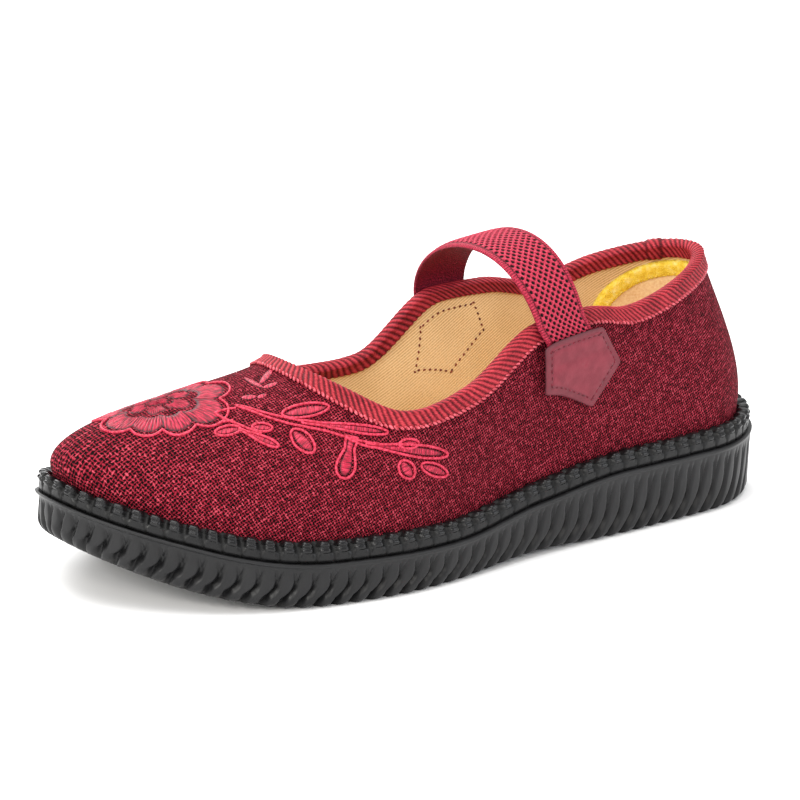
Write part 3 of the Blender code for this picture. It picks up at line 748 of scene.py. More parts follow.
# %% Colour helper and shared starts of materials
def linear(hex_colour):
    """sRGB hex value to linear colour."""
    parts = [int(hex_colour[k:k + 2], 16) / 255 for k in (1, 3, 5)]
    return tuple(c / 12.92 if c <= 0.04045 else ((c + 0.055) / 1.055) ** 2.4 for c in parts) + (1.0,)


def new_material(name, **shader_values):
    """Material with a Principled shader, its constants set on its own sockets."""
    material = bpy.data.materials.new(name)
    material.use_nodes = True
    shader = material.node_tree.nodes["Principled BSDF"]
    for label, value in shader_values.items():
        shader.inputs[label.replace("_", " ")].default_value = value
    return material, material.node_tree, shader


def ramp(tree, factor, stops):
    """Colours between named places of a factor."""
    node = add_node(tree, "ShaderNodeValToRGB", {}, {"Fac": factor})
    marks = node.color_ramp.elements
    while len(marks) < len(stops):
        marks.new(0.5)
    for mark, (place, colour) in zip(marks, stops):
        mark.position = place
        mark.color = linear(colour)
    return node.outputs["Color"]


def cover(tree, shader, colour, height, strength, depth):
    """Lead a colour and a bump to the shader, the bump's depth in millimetres."""
    tree.links.new(colour, shader.inputs["Base Color"])
    bump = add_node(tree, "ShaderNodeBump", {},
                    {"Height": height, "Strength": strength, "Distance": depth * MM})
    tree.links.new(bump.outputs["Normal"], shader.inputs["Normal"])


# %% [markdown]
# ## Moulded PVC: sole and welt
#
# The sole is injected black PVC. It comes out of its mould with a fine matt skin, which scatters
# light softly: dark grey rather than black where light falls on it. The welt's beads are the same
# plastic from a polished cavity, so they are darker and carry small bright highlights.


# %% Material: moulded PVC, matt
def moulded_pvc():
    material, tree, shader = new_material("moulded_pvc", Roughness=0.40, Specular_IOR_Level=0.24)
    place = add_node(tree, "ShaderNodeTexCoord").outputs["Object"]
    cloud = add_node(tree, "ShaderNodeTexNoise", {}, {"Vector": place, "Scale": 90.0, "Detail": 4.0})
    hollow = add_node(tree, "ShaderNodeAttribute", {"attribute_name": "hollow"}).outputs["Fac"]
    body = ramp(tree, cloud.outputs["Fac"], [(0.3, "#1a1a1b"), (0.7, "#232324")])
    # The valleys between the lobes are painted darker: painted shade.
    shade = add_node(tree, "ShaderNodeMix", {"data_type": "RGBA"},
                     {"Factor": hollow, "A": body, "B": linear("#0c0c0d")})
    gloss = add_node(tree, "ShaderNodeMapRange", {},
                     {"Value": cloud.outputs["Fac"], "To Min": 0.32, "To Max": 0.46})
    tree.links.new(gloss.outputs["Result"], shader.inputs["Roughness"])
    grain = add_node(tree, "ShaderNodeTexNoise", {}, {"Vector": place, "Scale": 2600.0, "Detail": 3.0})
    cover(tree, shader, shade.outputs["Result"], grain.outputs["Fac"], 0.25, 0.06)
    return material


# %% Material: moulded PVC, polished
def polished_pvc():
    material, tree, shader = new_material(
        "polished_pvc", Roughness=0.26, Specular_IOR_Level=0.32)
    place = add_node(tree, "ShaderNodeTexCoord").outputs["Object"]
    smear = add_node(tree, "ShaderNodeTexNoise", {}, {"Vector": place, "Scale": 260.0, "Detail": 5.0})
    body = ramp(tree, smear.outputs["Fac"], [(0.35, "#09090a"), (0.7, "#131315")])
    hollow = add_node(tree, "ShaderNodeAttribute", {"attribute_name": "hollow"}).outputs["Fac"]
    shaded = add_node(tree, "ShaderNodeMix", {"data_type": "RGBA"},
                      {"Factor": hollow, "A": body, "B": linear("#020202")})
    uneven = add_node(tree, "ShaderNodeMath", {"operation": "MULTIPLY_ADD"},
                      {0: hollow, 1: 0.8, 2: smear.outputs["Fac"]})
    gloss = add_node(tree, "ShaderNodeMapRange", {},
                     {"Value": uneven.outputs[0], "From Min": 0.3, "From Max": 1.3,
                      "To Min": 0.12, "To Max": 0.64})
    tree.links.new(gloss.outputs["Result"], shader.inputs["Roughness"])
    cover(tree, shader, shaded.outputs["Result"], smear.outputs["Fac"], 0.3, 0.15)
    return material


MOULDED_PVC = moulded_pvc()
POLISHED_PVC = polished_pvc()

# %% [markdown]
# ## Sole
#
# The side of the sole is a row of upright lobes with narrow valleys between them. They begin
# softly under the lip and deepen towards the floor, where they end in a scalloped edge, and their
# feet lean towards the toe except right at the heel and hook ahead round the bottom edge. Each
# valley starts as two faint grooves that run together on their way down, like a pleat. All of it is
# one loop of cuts, sixteen for each rib, so the depth of a cut depends only on where it lies
# between two lobes.

# %% Side of the sole
# Places of the cuts of one rib, as shares of its pitch from the valley, closer where it is steep.
RIB_CUTS = (0.0, 0.05, 0.10, 0.15, 0.20, 0.25, 0.31, 0.40, 0.50, 0.60, 0.69, 0.75, 0.80, 0.85, 0.90, 0.95)
WALL_ROWS = 12
EDGE_ROWS = 5
SLANT_SHARPNESS = 4.0        # how soon after heel and toe the ribs lean fully
SIDE_TO_LENGTH = 1.15        # one side of the sole's outline over its length
FOLD_APART = 0.20            # at their heads, two grooves lie this far either side of a valley
FOLD_MEET = 0.70             # share of the way down where they have become one
GROOVE_WIDTH = 0.095         # shares of the rib's pitch
EASY_FLANK = 0.22            # the toe side of a valley widens by this towards the floor
SCALLOP = 1.7 * MM           # how much higher the bottom edge is in a valley
HOOK = 2.4 * MM              # how much further ahead a rib's foot runs round the bottom edge


def rib_phase():
    """Turn of each cut round the sole, and its place between two valleys, toe side positive."""
    cuts = np.array(RIB_CUTS)
    ribs = np.arange(RIBS_PER_SIDE)[:, None]
    outer = ((ribs + cuts) / RIBS_PER_SIDE).ravel()
    turn = np.unique(np.round(np.mod(np.concatenate([outer, [1.0], 2 - outer]), 2), 9))
    from_valley = np.mod(RIBS_PER_SIDE * turn + 0.5, 1.0) - 0.5
    return turn, np.where(turn < 1, from_valley, -from_valley)


def valley_shape(forward, share):
    """How deep each cut lies, from 0 on a lobe to 1 in a valley, at a share of the way down."""
    apart = FOLD_APART * (1 - smooth_step(share / FOLD_MEET))
    flank = np.where(forward > apart, GROOVE_WIDTH + EASY_FLANK * share ** 2, GROOVE_WIDTH)
    return np.exp(-((np.abs(forward) - apart) / flank) ** 2)


def slanted(turn, share, hook=0.0):
    """Turn of a rib at a share of the way down it, and how far it has hooked ahead below that."""
    lean = (RIB_SLANT * (0.20 * share + 0.80 * share ** 5) + HOOK * hook) / (SHOE_LENGTH * SIDE_TO_LENGTH)
    return turn + lean * np.tanh(SLANT_SHARPNESS * np.sin(math.pi * turn))


def lip_reach(turn):
    """How far the lip stands out over the wall: fully at the toe, hardly along the sides."""
    return LIP_REACH * (0.30 + 0.70 * smooth_step((0.34 - np.abs(turn - 1)) / 0.16))


def ledge_and_lip(turn):
    """Rings from inside the welt, over the ledge and round the thin lip."""
    section = {
        "inset": (7.5, 1.6, 0.75, 0.28, 0.05, 0.0, 0.12, 0.55, 1.15),
        "drop": (0.0, 0.0, 0.0, 0.08, 0.30, 0.55, 0.85, 1.15, 1.35),
    }
    rings = []
    for inset, drop in zip(*section.values()):
        under = lip_reach(turn) / LIP_REACH if drop > 0.6 else np.ones(turn.shape)
        ring = sole_points(turn, under * inset * MM, lambda share, d=drop: sole_top(share) - d * MM)
        rings.append((ring, np.zeros(turn.shape)))
    return rings


def ribbed_wall(turn, forward):
    """Rings down the ribbed wall and round its scalloped bottom edge."""
    rings = []
    head_drop = 1.7 * MM
    for row in range(WALL_ROWS + 1):
        share = row / WALL_ROWS
        valley = valley_shape(forward, share)
        depth = RIB_DEPTH * (0.40 * smooth_step(share / 0.25) + 0.60 * smooth_step((share - 0.3) / 0.6))
        head = lip_reach(turn)
        inset = head + (WALL_FOOT_INSET - head) * share + valley * depth

        def height(along, share=share, valley=valley):
            top = sole_top(along) - head_drop
            foot = bottom_height(along) + EDGE_ROUND + valley * SCALLOP
            return top + (foot - top) * share

        # Each ring also carries its painted shade: the valleys are darker, more so towards the floor.
        rings.append((sole_points(slanted(turn, share), inset, height),
                      valley * smooth_step(share * 1.2 - 0.1)))
    valley = valley_shape(forward, 1.0)
    for row in range(1, EDGE_ROWS + 1):
        angle = row / EDGE_ROWS * math.pi / 2
        reach = EDGE_ROUND * (1 - math.cos(angle))
        rise = EDGE_ROUND * (1 - math.sin(angle))
        fade = math.cos(angle) ** 0.35
        inset = WALL_FOOT_INSET + reach + valley * RIB_DEPTH * (0.55 + 0.45 * fade)

        def height(along, rise=rise, fade=fade):
            return bottom_height(along) + rise + valley * SCALLOP * fade

        hooked = slanted(turn, 1.0, row / EDGE_ROWS)
        # Painted shade in the valleys round the bottom edge.
        rings.append((sole_points(hooked, inset, height), valley * fade))
    return rings


# %% [markdown]
# Underneath, the tread is a field of shallow wavy grooves across the foot, interrupted at the
# waist. Nothing of it shows from above, but a shoe gets turned over. The grooves go up into the
# sole, so the flats at heel and ball still stand on the floor.

# %% Underside of the sole
TREAD_PITCH = 6.0 * MM
TREAD_DEPTH = 0.9 * MM
TREAD_WAVE = 20.0 * MM
TREAD_ACROSS = 36
TREAD_MARGIN = 0.07          # plain border, share of the width


def tread_depth(grid, share):
    """How far the grooves go up into the sole at each point of its underside."""
    x = grid[..., 0]
    y = grid[..., 1]
    phase = x / TREAD_PITCH + 0.32 * np.sin(2 * math.pi * y / TREAD_WAVE)
    groove = np.clip(0.5 - 2.2 * np.abs(phase - np.round(phase)), 0, 0.25) * 4
    border = smooth_step((np.minimum(share, 1 - share) - TREAD_MARGIN) / 0.04)
    waist = 1 - smooth_step((0.022 - np.abs(x + 0.022)) / 0.006)
    ends = smooth_step((SHOE_LENGTH / 2 - 0.014 - np.abs(x)) / 0.004)
    return TREAD_DEPTH * groove * border * waist * ends


def make_sole():
    turn, forward = rib_phase()
    rings = ledge_and_lip(turn) + ribbed_wall(turn, forward)
    last = sole_points(
        slanted(turn, 1.0, 1.0),
        np.full(turn.shape, WALL_FOOT_INSET + RIB_DEPTH + EDGE_ROUND), bottom_height)
    rings.append((last, np.zeros(turn.shape)))
    side = np.stack([ring for ring, _ in rings], axis=1)
    # Painted shade of each point of the side, darker in the valleys.
    hollow = np.stack([depth for _, depth in rings], axis=1)

    def settle(grid, share):
        along = (grid[..., 0] + MIDDLE[0]) / SHOE_LENGTH
        return bottom_height(along) - grid[..., 2] + tread_depth(grid, share)

    under = rungs(last, TREAD_ACROSS, settle)
    under[:, 0] = rungs(last, TREAD_ACROSS)[:, 0]
    under[:, -1] = rungs(last, TREAD_ACROSS)[:, -1]
    top = rungs(rings[0][0], 10)
    mesh = skin("sole", [
        {"points": side, "hollow": hollow, "closed": (True, False)},
        {"points": under}, {"points": top}], sharp=50)
    return add_piece("sole", mesh, MOULDED_PVC, ["outsole"])


make_sole()

# %% [markdown]
# ## Welt
#
# The welt is a moulded strip that is stuck round the foot of the cloth. Its upper half is a row of
# rounded teeth, each with a knob on top and a bulge below it, and both catch the light. Its lower
# half is a flat skirt, where only a thin line parts one tooth from the next. It is one loop, and
# a short table holds its section.

# %% Welt with its teeth
CUTS_PER_TOOTH = 14
# Section from the cloth over the top and down to the ledge, in mm: how far inside the lip's
# outline, how high over the ledge, and how far the groove between two teeth cuts in and down.
WELT_SECTION = {
    "inset": (5.00, 5.00, 4.30, 3.40, 2.60, 1.90, 1.40, 1.20, 1.32,
              1.56, 1.28, 0.88, 0.74, 0.88, 1.14, 1.26, 1.22, 1.18),
    "height": (0.10, 5.80, 6.25, 6.52, 6.56, 6.40, 6.02, 5.62, 5.20,
               4.94, 4.70, 4.36, 3.96, 3.50, 3.20, 2.95, 1.50, 0.10),
    "cut": (0.00, 0.00, 0.30, 0.90, 1.50, 1.90, 2.05, 2.05, 1.95,
            1.70, 1.95, 2.00, 1.90, 1.50, 1.00, 0.35, 0.30, 0.30),
    "sunk": (0.00, 0.10, 0.60, 1.50, 1.90, 1.80, 1.35, 0.85, 0.40,
             0.10, 0.00, 0.00, 0.00, 0.00, 0.00, 0.00, 0.00, 0.00),
}
SKIRT_TOP = 3.0              # below this height the teeth are parted by thin lines only


def make_welt():
    count = 2 * RIBS_PER_SIDE * CUTS_PER_TOOTH
    turn = np.arange(count) * 2.0 / count
    from_middle = np.abs(np.mod(RIBS_PER_SIDE * turn, 1.0) - 0.5)
    rounded = smooth_step((from_middle - 0.17) / 0.30)
    thin_line = np.exp(-((from_middle - 0.5) / 0.06) ** 2)
    # The glue line where the strip meets the cloth is a little uneven.
    waver = 0.22 * np.sin(2 * math.pi * 61 * turn) + 0.16 * np.sin(2 * math.pi * 97 * turn + 1.0)
    rings, shades = [], []
    for inset, height, cut, sunk in zip(*WELT_SECTION.values()):
        groove = thin_line if height < SKIRT_TOP else rounded
        lift = height - sunk * groove + (waver if inset > 4.0 and height > 1.0 else 0.0)
        rings.append(sole_points(
            turn, (inset + cut * groove) * MM, lambda share, up=lift: sole_top(share) + up * MM))
        # The grooves between the teeth are painted darker as shade, and the skirt is painted darker all
        # over.
        shades.append(np.clip(groove * (cut > 0) + 0.45 * (height < SKIRT_TOP), 0, 1))
    mesh = skin("welt_teeth", [{
        "points": np.stack(rings, axis=1), "hollow": np.stack(shades, axis=1), "closed": (True, True)}])
    return add_piece("welt_teeth", mesh, POLISHED_PVC, ["welt"])


make_welt()

# %% [markdown]
# ## Cloth
#
# The upper is cut from one piece of loosely woven melange cloth: crimson yarn about 0.8 mm thick,
# plied with black, so some stretches are darker than others. The yarns' crests are painted lighter
# and the gaps at every crossing painted dark, as light and shade.
# A weave has to run straight through the pattern piece, not round the toe, so the wall is first
# laid flat as a pattern cutter would, and the flat place of each point becomes its UV in
# millimetres. The yarns are too fine to model, and are drawn as bump and colour.

# %% Lay the wall flat
CLOTH_CUTS = 264
CLOTH_ROWS = 54


def cloth_grid():
    """Outer face from the ledge to the collar, cut open at the heel."""
    turn = np.linspace(0, 2, CLOTH_CUTS + 1)
    rise = np.linspace(0, 1, CLOTH_ROWS + 1)
    turn_grid, rise_grid = np.meshgrid(turn, rise, indexing="ij")
    face = plain_face(turn_grid, rise_grid)
    _, out = face_direction(np.mod(turn_grid, 2), rise_grid)
    face = face - out * crease_depth(face)[..., None]
    foot = face[:, :1].copy()
    foot[..., 2] = sole_top((foot[..., 0] + MIDDLE[0]) / SHOE_LENGTH) + CLEARANCE
    face = np.concatenate([foot, face], axis=1)
    out = np.concatenate([out[:, :1], out], axis=1)
    face[-1] = face[0]
    out[-1] = out[0]
    return face, out


def lay_flat(face):
    """UV in millimetres from Blender's own unwrap of the open wall, toe along +U."""
    mesh = skin("pattern_piece", [{"points": face}], weld=False)
    piece = put_in_scene("pattern_piece", mesh)
    bpy.context.view_layer.objects.active = piece
    piece.select_set(True)
    bpy.ops.object.mode_set(mode="EDIT")
    bpy.ops.mesh.select_all(action="SELECT")
    bpy.ops.uv.unwrap(method="ANGLE_BASED", margin=0.0)
    bpy.ops.object.mode_set(mode="OBJECT")
    columns, rows = face.shape[:2]
    corner = np.zeros(len(mesh.loops), int)
    mesh.loops.foreach_get("vertex_index", corner)
    flat = np.zeros(len(mesh.loops) * 2, np.float32)
    mesh.uv_layers.active.data.foreach_get("uv", flat)
    uv = np.zeros((columns * rows, 2))
    uv[corner] = flat.reshape(-1, 2)
    uv = uv.reshape(columns, rows, 2)
    bpy.data.objects.remove(piece)
    real = np.linalg.norm(np.diff(face, axis=0), axis=-1).sum()
    drawn = np.linalg.norm(np.diff(uv, axis=0), axis=-1).sum()
    uv = uv * (real / MM) / drawn
    toe = columns // 2
    ahead = uv[toe, 1] - uv[toe, -1]
    angle = math.atan2(ahead[1], ahead[0])
    turned = np.array([[math.cos(angle), math.sin(angle)], [-math.sin(angle), math.cos(angle)]])
    uv = (uv - uv[toe, -1]) @ turned.T
    side = uv[columns // 4, rows // 2, 1]
    if side < 0:
        uv[..., 1] = -uv[..., 1]
    return uv


FACE, FACE_OUT = cloth_grid()
FLAT = lay_flat(FACE)
print("pattern piece in mm", np.round(FLAT.reshape(-1, 2).max(axis=0) - FLAT.reshape(-1, 2).min(axis=0)))


# %% Material: melange cloth
def melange_cloth():
    """Loose plain weave of crimson and black yarn: rough, with a little fluff."""
    material, tree, shader = new_material(
        "melange_cloth", Roughness=0.85, Specular_IOR_Level=0.08)
    yarn = 0.86                      # mm from one yarn to the next
    flat = add_node(tree, "ShaderNodeUVMap", {"uv_map": "millimetres"}).outputs["UV"]
    wander = add_node(tree, "ShaderNodeTexNoise", {"noise_dimensions": "2D"},
                      {"Vector": flat, "Scale": 0.55, "Detail": 2.0})
    shifted = add_node(tree, "ShaderNodeVectorMath", {"operation": "MULTIPLY_ADD"},
                       {0: wander.outputs["Color"], 1: (0.9, 0.9, 0.0), 2: flat})
    scaled = add_node(tree, "ShaderNodeVectorMath", {"operation": "SCALE"},
                      {0: shifted.outputs[0], "Scale": 1.0 / yarn})
    bands = []
    for direction in ("X", "Y"):
        wave = add_node(tree, "ShaderNodeTexWave", {
            "wave_type": "BANDS", "bands_direction": direction, "wave_profile": "SIN"}, {
            "Vector": scaled.outputs[0], "Scale": math.pi / 10, "Distortion": 1.3,
            "Detail": 2.0, "Detail Scale": 1.6, "Detail Roughness": 0.6})
        bands.append(wave.outputs["Fac"])
    over = add_node(tree, "ShaderNodeTexChecker", {}, {
        "Vector": scaled.outputs[0], "Scale": 1.0, "Color1": (1, 1, 1, 1), "Color2": (0, 0, 0, 1)})
    height = add_node(tree, "ShaderNodeMix", {"data_type": "FLOAT"},
                      {"Factor": over.outputs["Fac"], 2: bands[0], 3: bands[1]})
    both = add_node(tree, "ShaderNodeMath", {"operation": "MAXIMUM"}, {0: bands[0], 1: bands[1]})
    raised = add_node(tree, "ShaderNodeMath", {"operation": "MULTIPLY_ADD"},
                      {0: height.outputs[0], 1: 0.55, 2: both.outputs[0]})
    cell = add_node(tree, "ShaderNodeVectorMath", {"operation": "FLOOR"}, {0: scaled.outputs[0]})
    dye = add_node(tree, "ShaderNodeTexWhiteNoise", {"noise_dimensions": "2D"},
                   {"Vector": cell.outputs[0]})
    long_way = add_node(tree, "ShaderNodeMapping", {},
                        {"Vector": flat, "Scale": (0.10, 0.85, 1.0)})
    streak = add_node(tree, "ShaderNodeTexNoise", {"noise_dimensions": "2D"},
                      {"Vector": long_way.outputs[0], "Scale": 1.0, "Detail": 3.0})
    fluff = add_node(tree, "ShaderNodeTexNoise", {"noise_dimensions": "2D"},
                     {"Vector": flat, "Scale": 2.6, "Detail": 3.0, "Roughness": 0.7})
    # Dye, stretches and fluff vary the tone at random. The weave's relief adds painted light and shade: yarn
    # crests lighter up to pale rose, gaps at the crossings near black.
    tone = -0.42
    for factor, weight in (
            (dye.outputs["Value"], 0.28), (streak.outputs["Fac"], 0.18),
            (fluff.outputs["Fac"], 0.40), (raised.outputs[0], 0.54)):
        tone = add_node(tree, "ShaderNodeMath", {"operation": "MULTIPLY_ADD"},
                        {0: factor, 1: weight, 2: tone}).outputs[0]
    colour = ramp(tree, tone, [
        (0.31, "#040202"), (0.44, "#190408"), (0.58, "#5f0e1b"), (0.80, "#8c1d2f"), (1.0, "#b84c5a")])
    relief = add_node(tree, "ShaderNodeMath", {"operation": "MULTIPLY_ADD"},
                      {0: fluff.outputs["Fac"], 1: 0.8, 2: raised.outputs[0]})
    cover(tree, shader, colour, relief.outputs[0], 0.75, 0.28)
    return material


# %% [markdown]
# Inside, the wall is lined with cream cotton twill, whose fine diagonal ribs lie 0.9 mm apart here.
# Real twill is finer than that, and is drawn as coarse as it needs to be to show.


# %% Material: cotton twill lining
def cotton_twill():
    material, tree, shader = new_material("cotton_twill", Roughness=0.92, Specular_IOR_Level=0.10)
    flat = add_node(tree, "ShaderNodeUVMap", {"uv_map": "millimetres"}).outputs["UV"]
    slanting = add_node(tree, "ShaderNodeMapping", {},
                        {"Vector": flat, "Rotation": (0.0, 0.0, math.radians(9))})
    twill = add_node(tree, "ShaderNodeTexWave", {"wave_type": "BANDS", "bands_direction": "Y"}, {
        "Vector": slanting.outputs[0], "Scale": 0.35, "Distortion": 0.35, "Detail": 2.0,
        "Detail Scale": 1.0})
    stain = add_node(tree, "ShaderNodeTexNoise", {"noise_dimensions": "2D"},
                     {"Vector": flat, "Scale": 0.035, "Detail": 3.0})
    slub = add_node(tree, "ShaderNodeTexNoise", {"noise_dimensions": "2D"},
                    {"Vector": flat, "Scale": 1.6, "Detail": 4.0})
    mixed = 0.0
    for cause, weight in ((slub, 0.35), (twill, 0.38), (stain, 0.35)):
        mixed = add_node(tree, "ShaderNodeMath", {"operation": "MULTIPLY_ADD"},
                         {0: cause.outputs["Fac"], 1: weight, 2: mixed}).outputs[0]
    colour = ramp(tree, mixed, [
        (0.30, "#bc9a68"), (0.50, "#e0bf8e"), (0.80, "#efd3a6"), (1.0, "#f6e0b8")])
    cover(tree, shader, colour, mixed, 0.5, 0.12)
    return material


MELANGE_CLOTH = melange_cloth()
COTTON_TWILL = cotton_twill()

# %% [markdown]
# The wall is two shells, one in the other: the cloth outside and the lining inside, 0.9 mm each.
# Each shell is a closed loop in both directions, round the shoe and round its own section.

# %% Cloth and lining shells
SHELL = UPPER_THICKNESS / 2


def wall_shell(name, start, stop, material):
    """Closed shell between two depths below the outer face."""
    outer = FACE[:-1] - FACE_OUT[:-1] * start
    inner = FACE[:-1] - FACE_OUT[:-1] * stop
    section = np.concatenate([outer, inner[:, ::-1]], axis=1)
    uv = np.concatenate([FLAT, FLAT[:, ::-1], FLAT[:, :1]], axis=1)
    mesh = skin(name, [{"points": section, "uv": uv, "closed": (True, True)}], weld=False, sharp=60)
    return add_piece(name, mesh, material, ["upper"])


wall_shell("cloth_upper", 0.0, SHELL - 0.02 * MM, MELANGE_CLOTH)
wall_shell("lining", SHELL + 0.02 * MM, UPPER_THICKNESS, COTTON_TWILL)

# %% [markdown]
# ## Binding
#
# A red grosgrain tape is folded over the raw edge of cloth and lining and sewn down. Grosgrain has
# round cross ribs. Here they lean, because the tape was pulled round the curve, and they are real
# relief: the tape is a loop of thin cuts that run along its ribs, eight for each rib.

# %% Material: grosgrain tape
def grosgrain():
    material, tree, shader = new_material("grosgrain", Roughness=0.60, Specular_IOR_Level=0.16)
    flat = add_node(tree, "ShaderNodeUVMap", {"uv_map": "millimetres"}).outputs["UV"]
    hollow = add_node(tree, "ShaderNodeAttribute", {"attribute_name": "hollow"}).outputs["Fac"]
    across = add_node(tree, "ShaderNodeMapping", {}, {"Vector": flat, "Scale": (0.9, 5.5, 1.0)})
    filament = add_node(tree, "ShaderNodeTexNoise", {"noise_dimensions": "2D"},
                        {"Vector": across.outputs[0], "Scale": 1.0, "Detail": 3.0})
    patchy = add_node(tree, "ShaderNodeTexNoise", {"noise_dimensions": "2D"},
                      {"Vector": flat, "Scale": 0.12, "Detail": 2.0})
    # Painted shade: the tape is darker between its ribs and in the creases beside its lapped end.
    tone = add_node(tree, "ShaderNodeMath", {"operation": "MULTIPLY_ADD"},
                    {0: hollow, 1: -0.55, 2: filament.outputs["Fac"]})
    tone = add_node(tree, "ShaderNodeMath", {"operation": "MULTIPLY_ADD"},
                    {0: patchy.outputs["Fac"], 1: 0.4, 2: tone.outputs[0]})
    colour = ramp(tree, tone.outputs[0], [(0.15, "#420710"), (0.45, "#801722"), (0.80, "#b63842")])
    cover(tree, shader, colour, filament.outputs["Fac"], 0.5, 0.12)
    return material


GROSGRAIN = grosgrain()

# %% Tape folded over the collar
RIB_PITCH = 1.95 * MM
CUTS_PER_TAPE_RIB = 8
TAPE_RIB_HEIGHT = 0.24 * MM
TAPE_REACH = 4.0 * MM        # how far the legs cover the cloth
TAPE_LEAN = 0.80             # how far a rib runs along the collar for each unit across the tape
TAPE_LEAN_INSIDE = 0.6       # the inner leg was pulled less far than the outer one
FOLD_SWELL = 0.25 * MM       # the fold is thicker than the tape's legs
FOLD_RISE = 0.50 * MM        # and stands a little higher
SMOOTH_CUTS = 1400
JOINT_AT = 14.0 * MM         # lapped end of the tape, from the back of the heel to the inner side
JOINT_WIDTH = 5.2 * MM


def tape_section():
    """Down the outer leg, over the edge and down the inner one, then back along the cloth."""
    mid = -UPPER_THICKNESS / 2
    reach = UPPER_THICKNESS / 2 + CLEARANCE + BINDING_THICKNESS + FOLD_SWELL
    rows = []
    for depth, lift in ((1.00, 0.15), (1.00, 0.62), (0.90, 0.90), (0.70, 1.0), (0.48, 1.0),
                        (0.26, 1.0), (0.08, 1.0)):
        rows.append((depth * TAPE_REACH, CLEARANCE / 2 + lift * BINDING_THICKNESS, 1.0))
    for angle in np.radians(np.linspace(15, 165, 9)):
        top = CLEARANCE + BINDING_THICKNESS + FOLD_RISE
        rows.append((-top * math.sin(angle), mid + reach * math.cos(angle), 1.0))
    for depth, lift in ((0.08, 1.0), (0.30, 1.0), (0.55, 1.0), (0.80, 1.0), (0.97, 0.85), (1.02, 0.4)):
        rows.append((depth * TAPE_REACH, -UPPER_THICKNESS - CLEARANCE / 2 - lift * BINDING_THICKNESS, 1.0))
    rows.append((1.02 * TAPE_REACH, -UPPER_THICKNESS - 0.02 * MM, 0.0))
    rows.append((0.0, -UPPER_THICKNESS - 0.02 * MM, 0.0))
    rows.append((-0.05 * MM, mid, 0.0))
    rows.append((0.0, 0.02 * MM, 0.0))
    rows.append((TAPE_REACH, 0.02 * MM, 0.0))
    return np.array(rows).T


def along_loop(places, values, around):
    """Read values, given at equal steps round a closed line, at places along it."""
    steps = np.arange(len(values) + 1) * around / len(values)
    closed = np.concatenate([values, values[:1]])
    return np.stack([np.interp(np.mod(places, around), steps, closed[:, k]) for k in range(3)], axis=-1)


def make_binding():
    depth, offset, ribbed = tape_section()
    smooth_turn, around = even_turns(SMOOTH_CUTS)
    smooth, _ = beside_wall(smooth_turn, depth, offset)
    _, out = beside_wall(smooth_turn[:1], depth, offset)
    cuts = round(around / RIB_PITCH) * CUTS_PER_TAPE_RIB
    place = np.arange(cuts) * around / cuts
    down = np.concatenate([[0], np.cumsum(np.hypot(np.diff(depth), np.diff(offset)))])
    lean = np.where(offset > -UPPER_THICKNESS / 2, TAPE_LEAN, TAPE_LEAN_INSIDE) * (ribbed > 0)
    leaned = np.concatenate([[0], np.cumsum(np.diff(down) * lean[1:])])
    # Each cut runs along a rib, so the ribs stay clean lines however far they lean.
    places = place[:, None] + leaned[None, :]
    points = np.stack([along_loop(places[:, k], smooth[:, k], around) for k in range(len(down))], axis=1)
    phase = np.arange(cuts)[:, None] / CUTS_PER_TAPE_RIB
    crest = (0.5 + 0.5 * np.cos(2 * math.pi * phase)) ** 0.7 * np.ones((1, len(down)))
    # The tape's lapped end is a raised step with a crease at each side, painted dark as shade.
    from_back = around - JOINT_AT - np.mod(places, around)
    lap = 1 - smooth_step((np.abs(from_back) - JOINT_WIDTH / 2) / (0.5 * MM))
    crease = np.exp(-((np.abs(from_back) - JOINT_WIDTH / 2) / (0.35 * MM)) ** 2)
    relief = ribbed * (TAPE_RIB_HEIGHT * (crest - 1) + 0.40 * MM * lap - 0.25 * MM * crease)
    grain = np.roll(points, -1, axis=1) - np.roll(points, 1, axis=1)
    run = np.roll(points, -1, axis=0) - np.roll(points, 1, axis=0)
    normal = np.cross(grain, run)
    normal = normal / np.maximum(np.linalg.norm(normal, axis=-1, keepdims=True), 1e-12)
    outside = np.sign((normal[0, 3] * out[0, 3]).sum())
    points = points + outside * normal * relief[..., None]
    uv_u = np.pad(places, ((0, 1), (0, 1)), mode="edge")
    uv_u[-1] = uv_u[0] + around
    uv_v = np.append(down, down[-1])[None, :] * np.ones((cuts + 1, 1))
    uv = np.stack([uv_u, uv_v], axis=-1) / MM
    # Painted shade, darker between the ribs and in the creases beside the lap.
    hollow = ribbed * np.clip(1 - crest + 1.5 * crease, 0, 1)
    mesh = skin("binding_tape", [
        {"points": points, "uv": uv, "hollow": hollow, "closed": (True, True)}], weld=False)
    return add_piece("binding_tape", mesh, GROSGRAIN, ["binding"])


make_binding()


# %% [markdown]
# The tape's lower edge is overcast: short slanting stitches side by side that read as a thin rope.
# One stitch is a rounded block, and the first tree lays 250 of them along the edge.

# %% Material: sewing thread
def sewing_thread(name, dark, light):
    """Twisted polyester: a soft gloss and a slight change of tone along it."""
    material, tree, shader = new_material(name, Roughness=0.45, Specular_IOR_Level=0.25)
    place = add_node(tree, "ShaderNodeTexCoord").outputs["Object"]
    tone = add_node(tree, "ShaderNodeTexNoise", {}, {"Vector": place, "Scale": 900.0, "Detail": 2.0})
    colour = ramp(tree, tone.outputs["Fac"], [(0.35, dark), (0.65, light)])
    cover(tree, shader, colour, tone.outputs["Fac"], 0.4, 0.1)
    return material


RED_THREAD = sewing_thread("red_sewing_thread", "#8c1828", "#d8606c")
WINE_THREAD = sewing_thread("wine_sewing_thread", "#4a0c18", "#761a2c")
BROWN_THREAD = sewing_thread("brown_sewing_thread", "#4a1a14", "#84402e")


